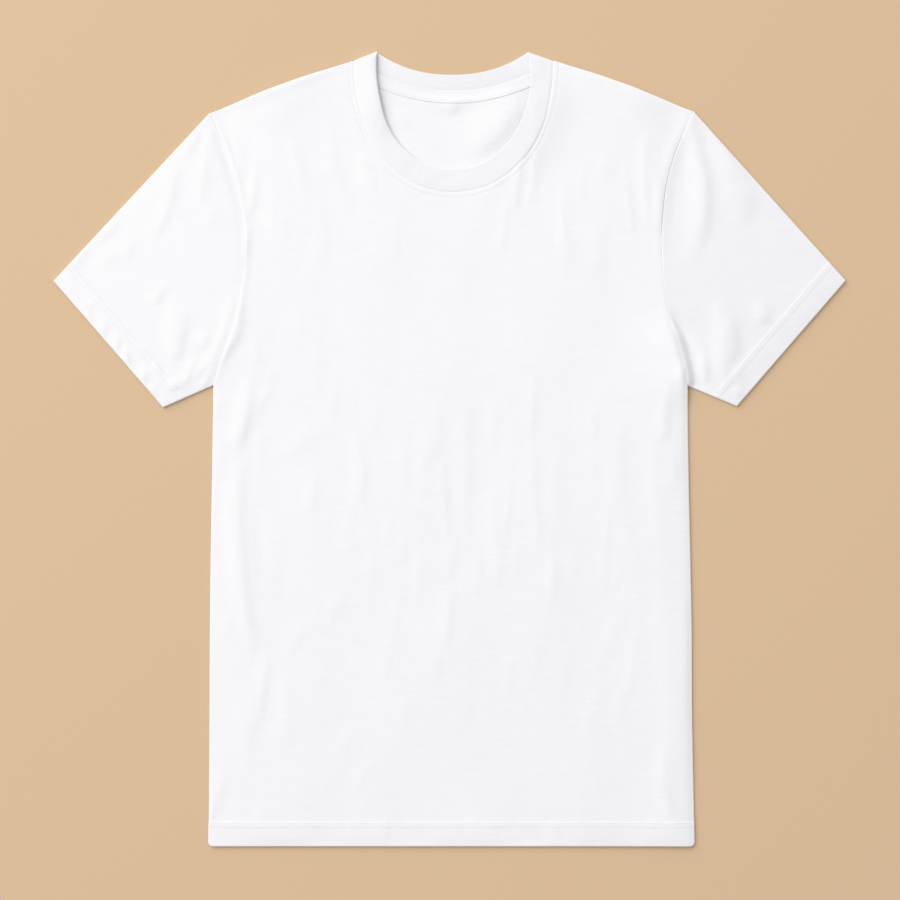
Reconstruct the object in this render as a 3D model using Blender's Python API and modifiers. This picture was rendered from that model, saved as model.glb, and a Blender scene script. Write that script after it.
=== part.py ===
"""Crew neck t-shirt, lying flat and face up on a level surface.

The garment is made the way it is sewn: a front and a back body panel, two sleeves that are each
one piece of cloth rolled to a tube, a doubled rib strip closed to a ring round the neck, and a
tape over the back neck seam.  The back panel lies on the surface, the front panel lies on the
back panel, and the neck rib stands a little proud where it turns over at the shoulders.

Frame: metres, +Z up, origin on the surface under the middle of the outline.
+Y points to the neck, +X to the garment's left arm, which lies on the right seen from above.
Sizes below are in millimetres.
"""
import math
from collections import namedtuple

import bpy
import bmesh
from mathutils import Vector

MM = 0.001

# ---------------------------------------------------------------- named sizes (mm)
CLOTH = 1.0          # wall of one layer of jersey
RIB = 1.6            # wall of the doubled neck rib
GAP = 0.3            # clear distance between pieces
ARM_STEPS = 16       # facets of the armhole seam
ARM_SPLIT = 7        # the step at which the front's blocks divide it
SEAM_GAP = 0.45      # the same at the neck seam, where the rib's edge leans
HALF_LENGTH = 381.3  # half of the outline's length, neck peak to hem
HEM_ROUND = 1.4      # how far the hem corners are rounded in
AIR = 0.9            # how far the front stands off the back between its folds
AIR_EDGE = 24.0      # width over which that air runs out at the outline

BACK_TOP = CLOTH                  # top face of the back panel
FRONT_LOW = BACK_TOP + GAP        # lowest face of the front panel

SEAM_CENTRE = 3.5    # the neck seam's middle lies this far to +X
SEAM_HALF = 95.8     # half the neck width at the seam
SEAM_TOP = 372.6     # where the neck seam meets the shoulder line
SEAM_DROP = 126.0    # front neck drop at the seam
FREE_CENTRE = 3.3
FREE_HALF = 76.2     # half the neck width at the rib's free edge
FREE_DROP = 104.0
NECK_POWER = 2.13    # the front neck line is a superellipse of this power
BACK_DROP = 29.3     # back neck drop at the seam
BACK_POWER = 2.05
BACK_FREE_CENTRE = 2.5
BACK_FREE_HALF = 72.6
BACK_FREE_TOP = 381.0
BACK_FREE_DROP = 21.6
BACK_FREE_POWER = 2.3
BACK_STAND = 2.3     # the back rib's free edge leans up this far at its middle
TAPE_WIDTH = 10.4
TAPE_REACH = 0.84    # share of the half neck width that the tape covers
SHOULDER_ARCH = 1.2  # how far the shoulder seams arch
BACK_ARM_SHALLOW = 5.0   # the back armholes are cut this much less deep

# ---------------------------------------------------------------- short tables (mm)
Side = namedtuple("Side", "y left right")                 # the body's side seams
SIDES = [
    Side(-381.5, -231.9, 235.6),
    Side(-325.0, -231.2, 234.4),
    Side(-250.0, -230.7, 233.1),
    Side(-174.0, -230.4, 232.8),
    Side(-97.0, -229.5, 231.3),
    Side(-20.0, -228.2, 229.7),
    Side(61.0, -227.2, 228.6),
]

Armhole = namedtuple("Armhole", "down left right")        # how far the seam bows in, tip to underarm
ARMHOLES = [
    Armhole(0.00, 0.0, 0.0),
    Armhole(0.08, 8.8, 9.0),
    Armhole(0.16, 16.2, 17.5),
    Armhole(0.26, 24.3, 24.2),
    Armhole(0.36, 29.0, 27.3),
    Armhole(0.46, 31.4, 28.2),
    Armhole(0.56, 30.8, 26.8),
    Armhole(0.66, 27.4, 24.0),
    Armhole(0.75, 22.3, 18.6),
    Armhole(0.84, 14.7, 10.2),
    Armhole(0.93, 5.4, 3.4),
    Armhole(1.00, 0.0, 0.0),
]

SleeveCut = namedtuple("SleeveCut", "name tip cuff_top cuff_bottom underarm top_bow under_bow")
SLEEVES = {
    "left": SleeveCut("sleeve_left", (-230.1, 323.0), (-380.4, 161.3), (-275.2, 39.8), (-227.2, 61.0), 0.8, 0.4),
    "right": SleeveCut("sleeve_right", (233.8, 324.9), (380.4, 161.9), (275.8, 41.0), (228.6, 60.6), 0.8, 1.6),
}

Stand = namedtuple("Stand", "along seam free")            # heights of the front rib's two edges
NECK_STAND = [                                            # along: 0 left shoulder, 1 right shoulder
    Stand(0.00, 2.8, 5.0),
    Stand(0.12, 3.6, 7.3),
    Stand(0.25, 3.6, 6.8),
    Stand(0.36, 3.0, 4.6),
    Stand(0.50, 2.3, 2.6),
    Stand(0.64, 2.3, 2.9),
    Stand(0.75, 2.6, 4.0),
    Stand(0.88, 2.8, 4.8),
    Stand(1.00, 2.8, 4.4),
]

Fold = namedtuple("Fold", "x0 y0 x1 y1 wide high")        # soft troughs (high < 0) and ridges
FOLDS = [
    Fold(-214, 319, -107, 358, 12, -0.7),     # under the left shoulder seam
    Fold(-92, 366, -78, 300, 20, 1.5),        # the front lifts towards the standing rib
    Fold(99, 362, 84, 300, 20, 0.8),
    Fold(-176, 80, -197, -20, 9, -0.9),       # long trough down the left side
    Fold(-197, -20, -194, -130, 9, -0.9),
    Fold(-194, -130, -182, -260, 9, -0.8),
    Fold(-166, 60, -180, -120, 8, 1.2),
    Fold(4, -20, 0, -180, 10, -0.8),          # middle troughs
    Fold(-104, 80, -106, 20, 10, -0.7),
    Fold(139, 30, 144, -50, 12, -0.6),
    Fold(196, 55, 196, -230, 16, 1.3),        # ridge down the right side
    Fold(-84, -140, -82, -260, 14, 0.9),
    Fold(92, -110, 96, -250, 14, 0.8),
    Fold(232, 310, 250, 220, 9, -0.7),        # right sleeve head
    Fold(-238, 300, -275, 215, 10, -0.7),     # left sleeve head
    Fold(-258, 160, -280, 135, 12, -0.6),
    Fold(-245, 140, -255, 95, 12, 1.1),
    Fold(272, 270, 300, 200, 14, 0.8),
]

COLOURS = {                                               # base colour of each finish
    "jersey": (0.86, 0.86, 0.88, 1.0),
    "rib": (0.84, 0.84, 0.865, 1.0),
    "tape": (0.85, 0.85, 0.875, 1.0),
}


# ---------------------------------------------------------------- curves
def through(rows, key, value, at):
    """Smooth value of a table's column at a key, through every row."""
    keys = [getattr(r, key) for r in rows]
    vals = [getattr(r, value) for r in rows]
    at = min(max(at, keys[0]), keys[-1])
    i = max(k for k in range(len(keys) - 1) if keys[k] <= at)
    h = keys[i + 1] - keys[i]
    t = (at - keys[i]) / h

    def slope(k):
        if k == 0:
            return (vals[1] - vals[0]) / (keys[1] - keys[0])
        if k == len(keys) - 1:
            return (vals[-1] - vals[-2]) / (keys[-1] - keys[-2])
        return (vals[k + 1] - vals[k - 1]) / (keys[k + 1] - keys[k - 1])

    a, b = slope(i) * h, slope(i + 1) * h
    return ((2 * t ** 3 - 3 * t ** 2 + 1) * vals[i] + (t ** 3 - 2 * t ** 2 + t) * a
            + (3 * t ** 2 - 2 * t ** 3) * vals[i + 1] + (t ** 3 - t ** 2) * b)


def mix(a, b, t):
    return tuple(p + (q - p) * t for p, q in zip(a, b))


def smooth(t):
    t = min(max(t, 0.0), 1.0)
    return t * t * (3 - 2 * t)


def power(value, p):
    return math.copysign(abs(value) ** p, value)


def armhole(side, t, shallow=0.0):
    """The armhole seam of one side, from the shoulder tip (0) to the underarm (1).

    It is faceted in ARM_STEPS equal steps, so that the panels and the sleeve meet on the same line."""
    k = min(int(t * ARM_STEPS + 1e-6), ARM_STEPS - 1)
    ends = []
    for step in (k, k + 1):
        down = step / ARM_STEPS
        x, y = mix(SLEEVES[side].tip, SLEEVES[side].underarm, down)
        bow = max(through(ARMHOLES, "down", side, down) - shallow * math.sin(math.pi * down), 0.0)
        ends.append((x + bow if side == "left" else x - bow, y))
    return mix(ends[0], ends[1], t * ARM_STEPS - k)


def side_seam(side, t):
    """The side seam, from the underarm (0) to the hem (1)."""
    y = SIDES[-1].y + (SIDES[0].y - SIDES[-1].y) * t
    return (through(SIDES, "y", side, y), y)


def neck_front(turn, centre, half, drop):
    """Front neck line; turn runs from 0 at the left shoulder to 1 at the right one."""
    a = math.pi * turn
    p = 2.0 / NECK_POWER
    return (centre - half * power(math.cos(a), p), SEAM_TOP - drop * power(math.sin(a), p))


def neck_back(u):
    """Back neck seam; u runs from -1 at the left shoulder to 1 at the right one."""
    return (SEAM_CENTRE + SEAM_HALF * u, SEAM_TOP - BACK_DROP * (1 - abs(u) ** BACK_POWER))


def neck_back_free(u):
    return (BACK_FREE_CENTRE + BACK_FREE_HALF * u,
            BACK_FREE_TOP - BACK_FREE_DROP * (1 - abs(u) ** BACK_FREE_POWER))


def shoulder(side, t):
    """Shoulder seam from the tip (0) to the neck seam (1), very slightly arched."""
    neck = (SEAM_CENTRE - SEAM_HALF, SEAM_TOP) if side == "left" else (SEAM_CENTRE + SEAM_HALF, SEAM_TOP)
    x, y = mix(SLEEVES[side].tip, neck, t)
    return (x, y + SHOULDER_ARCH * math.sin(math.pi * t))


def sleeve_edge(cut, which, s):
    """The sleeve's folded top edge or its underarm edge, from the body (0) to the cuff (1)."""
    if which == "top":
        x, y = mix(cut.tip, cut.cuff_top, s)
        return (x, y + cut.top_bow * math.sin(math.pi * s ** 0.5))
    x, y = mix(cut.underarm, cut.cuff_bottom, s)
    return (x, y - cut.under_bow * math.sin(math.pi * s))


# ---------------------------------------------------------------- relief of the upper layer
def outline():
    pts = []
    for side, sign in (("left", 1), ("right", -1)):
        cut = SLEEVES[side]
        run = [shoulder(side, 1 - k / 3) for k in range(4)]
        run += [sleeve_edge(cut, "top", k / 6) for k in range(1, 7)]
        run += [cut.cuff_bottom, cut.underarm]
        run += [side_seam(side, k / 6) for k in range(1, 7)]
        pts.append(run)
    left, right = pts
    return left, right


OUTLINE = outline()


def to_segment(x, y, a, b):
    dx, dy = b[0] - a[0], b[1] - a[1]
    length = dx * dx + dy * dy
    t = 0.0 if length == 0 else min(max(((x - a[0]) * dx + (y - a[1]) * dy) / length, 0.0), 1.0)
    return math.hypot(x - a[0] - dx * t, y - a[1] - dy * t), t


def edge_distance(x, y):
    near = abs(y - SIDES[0].y)
    for run in OUTLINE:
        for a, b in zip(run, run[1:]):
            near = min(near, to_segment(x, y, a, b)[0])
    return near


def relief(x, y):
    """How far the upper layer's lower face stands above FRONT_LOW."""
    rise = AIR
    for f in FOLDS:
        d, t = to_segment(x, y, (f.x0, f.y0), (f.x1, f.y1))
        rise += f.high * math.exp(-(d / f.wide) ** 2)
    return max(rise, 0.0) * smooth(edge_distance(x, y) / AIR_EDGE)


# ---------------------------------------------------------------- mesh helpers
def collection(name):
    col = bpy.data.collections.new(name)
    bpy.context.scene.collection.children.link(col)
    return col


def material(name, finish, roughness):
    mat = bpy.data.materials.new(name)
    mat.use_nodes = True
    bsdf = mat.node_tree.nodes["Principled BSDF"]
    bsdf.inputs["Base Color"].default_value = COLOURS[finish]
    bsdf.inputs["Roughness"].default_value = roughness
    bsdf.inputs["Metallic"].default_value = 0.0
    return mat


def grid(bm, across, along, place):
    """A grid primitive bent to a surface: place(u, v) gives millimetres for u, v in 0..1."""
    made = bmesh.ops.create_grid(bm, x_segments=across, y_segments=along, size=0.5)
    for v in made["verts"]:
        x, y, z = place(round((v.co.x + 0.5) * across) / across, round((v.co.y + 0.5) * along) / along)
        v.co = Vector((x * MM, y * MM, z * MM))


def piece(col, parent, name, bm, mat, thickness, offset):
    bmesh.ops.remove_doubles(bm, verts=bm.verts, dist=0.00001)
    bmesh.ops.recalc_face_normals(bm, faces=bm.faces)
    up = sum(f.normal.z * f.calc_area() for f in bm.faces)
    if up < -1e-9:
        bmesh.ops.reverse_faces(bm, faces=bm.faces)
    mesh = bpy.data.meshes.new(name)
    bm.to_mesh(mesh)
    bm.free()
    mesh.shade_smooth()
    mesh.set_sharp_from_angle(angle=math.radians(50))
    mesh.materials.append(mat)
    obj = bpy.data.objects.new(name, mesh)
    col.objects.link(obj)
    obj.parent = parent
    wall = obj.modifiers.new("wall", "SOLIDIFY")
    wall.thickness = thickness * MM
    wall.offset = offset
    wall.use_rim = True
    wall.use_even_offset = False
    return obj


def coons(bottom, top, left, right, u, v):
    """A surface patch between four edge curves, each a function of 0..1."""
    b, t, l, r = bottom(u), top(u), left(v), right(v)
    c00, c10, c01, c11 = bottom(0.0), bottom(1.0), top(0.0), top(1.0)
    return tuple((1 - v) * b[k] + v * t[k] + (1 - u) * l[k] + u * r[k]
                 - ((1 - u) * (1 - v) * c00[k] + u * (1 - v) * c10[k]
                    + (1 - u) * v * c01[k] + u * v * c11[k]) for k in range(2))


def hem_line(u):
    """The hem from left to right, its corners rounded in."""
    x = SIDES[0].left + (SIDES[0].right - SIDES[0].left) * u
    corner = HEM_ROUND * (abs(2 * u - 1) ** 60)
    return (x - math.copysign(corner, u - 0.5) if corner > 0.01 else x, SIDES[0].y + corner)


# ---------------------------------------------------------------- body panels
SPLIT_TURN = 0.24        # where the neck line is split between the side and the middle of the panel
SPLIT_DOWN = ARM_SPLIT / ARM_STEPS
STRIP, MIDDLE = 6, 20    # columns beside and below the neck
SIDE_ROWS = 19           # rows along the side seam
LOW_ROWS, HIGH_ROWS = SIDE_ROWS + ARM_STEPS - ARM_SPLIT, ARM_SPLIT


def front_neck(turn):
    return neck_front(turn, SEAM_CENTRE, SEAM_HALF + SEAM_GAP, SEAM_DROP + SEAM_GAP)


def low_top(u):
    """Top of the front's lower block: armhole, neck line, armhole."""
    cols = 2 * STRIP + MIDDLE
    k = u * cols
    lo, hi = front_neck(SPLIT_TURN), front_neck(1 - SPLIT_TURN)
    if k <= STRIP:
        return mix(armhole("left", SPLIT_DOWN), lo, k / STRIP)
    if k >= cols - STRIP:
        return mix(hi, armhole("right", SPLIT_DOWN), (k - cols + STRIP) / STRIP)
    return front_neck(SPLIT_TURN + (1 - 2 * SPLIT_TURN) * (k - STRIP) / MIDDLE)


def low_bottom(u):
    """The hem, with its columns spaced as the block's top is."""
    x = (low_top(u)[0] - low_top(0.0)[0]) / (low_top(1.0)[0] - low_top(0.0)[0])
    return hem_line(0.5 * x + 0.5 * u)


def low_edge(side):
    """Side seam and lower armhole, from the hem up."""
    def at(v):
        row = v * LOW_ROWS
        if row <= SIDE_ROWS:
            x, y = side_seam(side, 1 - row / SIDE_ROWS)
            corner = HEM_ROUND * (1 - row / SIDE_ROWS) ** 120
            return (x + corner if side == "left" else x - corner, y + corner)
        return armhole(side, 1 - (row - SIDE_ROWS) / ARM_STEPS)
    return at


def high_edge(side):
    return lambda v: armhole(side, SPLIT_DOWN * (1 - v))


def neck_side(side):
    if side == "left":
        return lambda v: front_neck(SPLIT_TURN * (1 - v))
    return lambda v: front_neck(1 - SPLIT_TURN * (1 - v))


def front_surface(x, y):
    return (x, y, FRONT_LOW + relief(x, y))


def make_front(col, parent, mat):
    bm = bmesh.new()
    left, right = low_edge("left"), low_edge("right")
    grid(bm, 2 * STRIP + MIDDLE, LOW_ROWS,
         lambda u, v: front_surface(*coons(low_bottom, low_top, left, right, u, v)))
    grid(bm, STRIP, HIGH_ROWS, lambda u, v: front_surface(*coons(
        lambda t: mix(armhole("left", SPLIT_DOWN), front_neck(SPLIT_TURN), t),
        lambda t: mix_shoulder("left", t), high_edge("left"), neck_side("left"), u, v)))
    grid(bm, STRIP, HIGH_ROWS, lambda u, v: front_surface(*coons(
        lambda t: mix(front_neck(1 - SPLIT_TURN), armhole("right", SPLIT_DOWN), t),
        lambda t: mix_shoulder("right", 1 - t), neck_side("right"), high_edge("right"), u, v)))
    return piece(col, parent, "front_panel", bm, mat, CLOTH, 1.0)


def mix_shoulder(side, t):
    """The front's shoulder edge, ending at the neck edge of the panel."""
    x, y = shoulder(side, t)
    end = front_neck(0.0 if side == "left" else 1.0)
    return (x + (end[0] - shoulder(side, 1.0)[0]) * t, y + (end[1] - shoulder(side, 1.0)[1]) * t)


BACK_COLS, BACK_SIDE_ROWS = 18, 8
BACK_ROWS = BACK_SIDE_ROWS + ARM_STEPS
BACK_SHOULDER = 4        # columns along each shoulder


def back_top(u):
    """Shoulder seam, back neck seam, shoulder seam."""
    share = BACK_SHOULDER / BACK_COLS
    if u <= share:
        x, y = shoulder("left", u / share)
        return (x - SEAM_GAP * u / share, y - SEAM_GAP * u / share)
    if u >= 1 - share:
        x, y = shoulder("right", (1 - u) / share)
        return (x + SEAM_GAP * (1 - u) / share, y - SEAM_GAP * (1 - u) / share)
    w = (u - share) / (1 - 2 * share) * 2 - 1
    x, y = neck_back(w)
    return (x + SEAM_GAP * w, y - SEAM_GAP)


def back_edge(side):
    def at(v):
        row = v * BACK_ROWS
        if row <= BACK_SIDE_ROWS:
            return side_seam(side, 1 - row / BACK_SIDE_ROWS)
        return armhole(side, 1 - (row - BACK_SIDE_ROWS) / ARM_STEPS, BACK_ARM_SHALLOW)
    return at


def make_back(col, parent, mat):
    bm = bmesh.new()
    left, right = back_edge("left"), back_edge("right")

    def bottom(u):
        x = (back_top(u)[0] - back_top(0.0)[0]) / (back_top(1.0)[0] - back_top(0.0)[0])
        return (SIDES[0].left + (SIDES[0].right - SIDES[0].left) * (0.6 * x + 0.4 * u), SIDES[0].y)

    grid(bm, BACK_COLS, BACK_ROWS,
         lambda u, v: coons(bottom, back_top, left, right, u, v) + (0.0,))
    return piece(col, parent, "back_panel", bm, mat, CLOTH, 1.0)


# ---------------------------------------------------------------- sleeves
SLEEVE_ALONG = 7                         # rings from armhole to cuff
FOLD_ROUND = 0.65                        # radius of the cloth's middle where it folds back


def make_sleeve(col, parent, side, mat):
    """One piece of cloth rolled to a flat tube; its two edges meet under the arm."""
    cut = SLEEVES[side]
    out = -1 if side == "left" else 1
    layer_points = ARM_STEPS + 1
    around = 2 * layer_points + 2
    low, top = CLOTH / 2, CLOTH / 2 + CLOTH + GAP

    def across(k):
        """Step from the underarm edge to the top edge, and the layer, for one point."""
        if k == 0 or k == around:
            return 0, "fold"
        if k == layer_points + 1:
            return ARM_STEPS, "fold"
        if k <= layer_points:
            return k - 1, "under"
        return around - 1 - k, "over"

    def place(u, v):
        step, layer = across(round(u * around))
        lower = sleeve_edge(cut, "under", v)
        upper = sleeve_edge(cut, "top", v)
        inset = 0.0 if layer == "fold" else FOLD_ROUND / math.dist(lower, upper)
        g = min(max(step / ARM_STEPS, inset), 1 - inset)
        x, y = mix(lower, upper, g)
        arm = armhole(side, 1 - g, BACK_ARM_SHALLOW if layer == "under" else 0.0)
        chord = mix(cut.underarm, cut.tip, g)
        clear = GAP * 1.2 + 0.7 * abs(2 * g - 1) ** 10
        x += (arm[0] - chord[0] + out * clear) * (1 - v)
        if layer == "fold":
            return (x, y, (low + top) / 2)
        if layer == "under":
            return (x, y, low)
        return (x, y, top + relief(x, y))

    bm = bmesh.new()
    grid(bm, around, SLEEVE_ALONG, place)
    bmesh.ops.remove_doubles(bm, verts=bm.verts, dist=0.00001)
    bmesh.ops.recalc_face_normals(bm, faces=bm.faces)
    over = [f for f in bm.faces if f.calc_center_median().z > (low + top) / 2 * MM]
    if sum(f.normal.z for f in over) < 0:
        bmesh.ops.reverse_faces(bm, faces=bm.faces)
    mesh = bpy.data.meshes.new(cut.name)
    bm.to_mesh(mesh)
    bm.free()
    mesh.shade_smooth()
    mesh.set_sharp_from_angle(angle=math.radians(60))
    mesh.materials.append(mat)
    obj = bpy.data.objects.new(cut.name, mesh)
    col.objects.link(obj)
    obj.parent = parent
    wall = obj.modifiers.new("wall", "SOLIDIFY")
    wall.thickness = CLOTH * MM
    wall.offset = 0.0
    wall.use_rim = True
    return obj


# ---------------------------------------------------------------- neck rib
FRONT_STATIONS = 38
BACK_STATIONS = 16
FOLD_STATIONS = 5
RIB_ACROSS = 3


def fold_line(side):
    """Seam end and free end of the line where the rib turns over at a shoulder."""
    if side == "left":
        return (SEAM_CENTRE - SEAM_HALF, SEAM_TOP), (-70.1, HALF_LENGTH)
    return (SEAM_CENTRE + SEAM_HALF, SEAM_TOP), (75.2, 380.6)


def front_station(turn):
    """Seam point and free point of the front rib, with their heights."""
    seam = neck_front(turn, SEAM_CENTRE, SEAM_HALF, SEAM_DROP)
    free = neck_front(turn, FREE_CENTRE, FREE_HALF, FREE_DROP)
    lean = max(0.0, 1 - min(turn, 1 - turn) / 0.12) ** 2
    free = (free[0] + (2.6 if turn < 0.5 else -3.6) * lean, free[1] + 6.0 * lean)
    return (seam + (through(NECK_STAND, "along", "seam", turn),),
            free + (through(NECK_STAND, "along", "free", turn),))


def back_station(u):
    """Seam point and free point of the back rib, which leans up to its free edge."""
    return (neck_back(u) + (RIB / 2,),
            neck_back_free(u) + (RIB / 2 + 0.1 + BACK_STAND * (1 - u * u),))


def turn_over(side):
    """Stations round the shoulder fold, from the back's level up to the front's."""
    sign = -1 if side == "left" else 1
    below = back_station(sign * 0.985)
    above = front_station(0.003 if side == "left" else 0.997)
    seam, free = fold_line(side)
    dx, dy = free[0] - seam[0], free[1] - seam[1]
    n = math.hypot(dx, dy)
    normal = (-dy / n, dx / n) if side == "left" else (dy / n, -dx / n)
    stations = []
    for k in range(FOLD_STATIONS):
        a = math.pi * (k / (FOLD_STATIONS - 1) - 0.5)
        ends = []
        for low, high, reach in zip(below, above, (seam, free)):
            x, y, z = mix(low, high, (math.sin(a) + 1) / 2)
            middle = mix(low, high, 0.5)
            far = [reach[i] - normal[i] * RIB / 2 - middle[i] for i in range(2)]
            ends.append((x + far[0] * math.cos(a), y + far[1] * math.cos(a), z))
        stations.append(tuple(ends))
    return stations


def rib_stations():
    """Every station round the neck: (seam point, free point), each x, y, z in mm."""
    front = [front_station(0.02 + 0.96 * k / (FRONT_STATIONS - 1)) for k in range(FRONT_STATIONS)]
    back = [back_station(0.93 - 1.86 * k / (BACK_STATIONS - 1)) for k in range(BACK_STATIONS)]
    return front + list(reversed(turn_over("right"))) + back + turn_over("left")


def make_rib(col, parent, mat):
    stations = rib_stations()
    count = len(stations)

    def place(u, v):
        seam, free = stations[round(u * count) % count]
        x, y, z = mix(seam, free, v)
        return (x, y, z + 0.25 * math.sin(math.pi * v))

    bm = bmesh.new()
    grid(bm, count, RIB_ACROSS, place)
    return piece(col, parent, "neck_rib", bm, mat, RIB, 0.0)


# ---------------------------------------------------------------- neck tape
TAPE_SEGMENTS = 20


def tape_point(u, down):
    """A point on the back neck seam, moved down the back panel across the seam."""
    x, y = neck_back(u)
    x1, y1 = neck_back(u + 0.01)
    dx, dy = x1 - x, y1 - y
    n = math.hypot(dx, dy)
    return (x + dy / n * down, y - dx / n * down)


def make_tape(col, parent, mat):
    bm = bmesh.new()

    def place(u, v):
        x, y = tape_point((2 * u - 1) * TAPE_REACH, SEAM_GAP + 0.2 + TAPE_WIDTH * v)
        return (x, y, BACK_TOP + GAP)

    grid(bm, TAPE_SEGMENTS, 2, place)
    return piece(col, parent, "neck_tape", bm, mat, CLOTH, 1.0)


def build():
    for obj in list(bpy.data.objects):
        bpy.data.objects.remove(obj, do_unlink=True)
    col = collection("crew_neck_t_shirt")
    root = bpy.data.objects.new("t_shirt_frame", None)
    col.objects.link(root)
    make_back(col, root, material("jersey_back", "jersey", 0.92))
    make_front(col, root, material("jersey_front", "jersey", 0.92))
    make_sleeve(col, root, "left", material("jersey_sleeve_left", "jersey", 0.92))
    make_sleeve(col, root, "right", material("jersey_sleeve_right", "jersey", 0.92))
    make_rib(col, root, material("rib_knit", "rib", 0.9))
    make_tape(col, root, material("neck_tape_jersey", "tape", 0.92))


build()
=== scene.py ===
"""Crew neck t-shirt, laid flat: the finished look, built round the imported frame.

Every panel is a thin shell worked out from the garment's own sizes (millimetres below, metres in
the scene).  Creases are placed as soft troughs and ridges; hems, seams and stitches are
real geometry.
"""
import math
from collections import namedtuple

import bpy
import numpy as np
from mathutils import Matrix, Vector, noise
from mathutils.kdtree import KDTree


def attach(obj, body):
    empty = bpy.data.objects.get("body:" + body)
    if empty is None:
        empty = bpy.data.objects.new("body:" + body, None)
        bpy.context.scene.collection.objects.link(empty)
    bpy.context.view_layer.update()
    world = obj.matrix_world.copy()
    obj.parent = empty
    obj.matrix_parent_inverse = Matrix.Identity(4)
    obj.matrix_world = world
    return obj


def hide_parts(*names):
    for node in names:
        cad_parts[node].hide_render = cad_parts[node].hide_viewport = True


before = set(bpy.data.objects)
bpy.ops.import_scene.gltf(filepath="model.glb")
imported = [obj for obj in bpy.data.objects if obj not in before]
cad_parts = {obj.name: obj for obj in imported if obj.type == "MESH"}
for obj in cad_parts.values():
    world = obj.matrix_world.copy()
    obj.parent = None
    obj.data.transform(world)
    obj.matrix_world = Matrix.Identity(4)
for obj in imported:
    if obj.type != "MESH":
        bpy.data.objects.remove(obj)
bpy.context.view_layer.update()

MM = 0.001

# ------------------------------------------------------------------ sizes, as in the CAD (mm)
HEM_Y = -381.5
SEAM_CENTRE, SEAM_HALF, SEAM_TOP, SEAM_DROP = 3.5, 95.8, 372.6, 126.0
FREE_CENTRE, FREE_HALF, FREE_DROP, NECK_POWER = 3.3, 76.2, 104.0, 2.13
BACK_DROP, BACK_POWER = 29.3, 2.05
BACK_FREE_CENTRE, BACK_FREE_HALF, BACK_FREE_TOP = 2.5, 72.6, 381.0
BACK_FREE_DROP, BACK_FREE_POWER, BACK_STAND = 21.6, 2.3, 0.9
SHOULDER_ARCH, BACK_ARM_SHALLOW = 1.2, 5.0
SIDE_Y = [-381.5, -325.0, -250.0, -174.0, -97.0, -20.0, 61.0]
SIDE_X = {"left": [-231.9, -231.2, -230.7, -230.4, -229.5, -228.2, -227.2],
          "right": [235.6, 234.4, 233.1, 232.8, 231.3, 229.7, 228.6]}
ARM_DOWN = [0.00, 0.08, 0.16, 0.26, 0.36, 0.46, 0.56, 0.66, 0.75, 0.84, 0.93, 1.00]
ARM_BOW = {"left": [0.0, 8.8, 16.2, 24.3, 29.0, 31.4, 30.8, 27.4, 22.3, 14.7, 5.4, 0.0],
           "right": [0.0, 9.0, 17.5, 24.2, 27.3, 28.2, 26.8, 24.0, 18.6, 10.2, 3.4, 0.0]}
TIP = {"left": (-230.1, 323.0), "right": (233.8, 324.9)}
CUFF_TOP = {"left": (-380.4, 161.3), "right": (380.4, 161.9)}
CUFF_BOTTOM = {"left": (-275.2, 39.8), "right": (275.8, 41.0)}
UNDERARM = {"left": (-227.2, 61.0), "right": (228.6, 60.6)}
SIGN = {"left": -1.0, "right": 1.0}

HEM_LOW_ROW, HEM_HIGH_ROW, HEM_DEEP = 18.1, 22.9, 23.7     # stitch rows and raw edge, from the hem
CLOTH = 0.62            # wall of one layer in the finished shells
EDGE_Z = 2.4            # height of the folded edges
ROLL_SIDE, ROLL_HEM, ROLL_ARM, ROLL_NECK, ROLL_SHOULDER = 1.15, 0.78, 0.42, 0.5, 1.6
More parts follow.
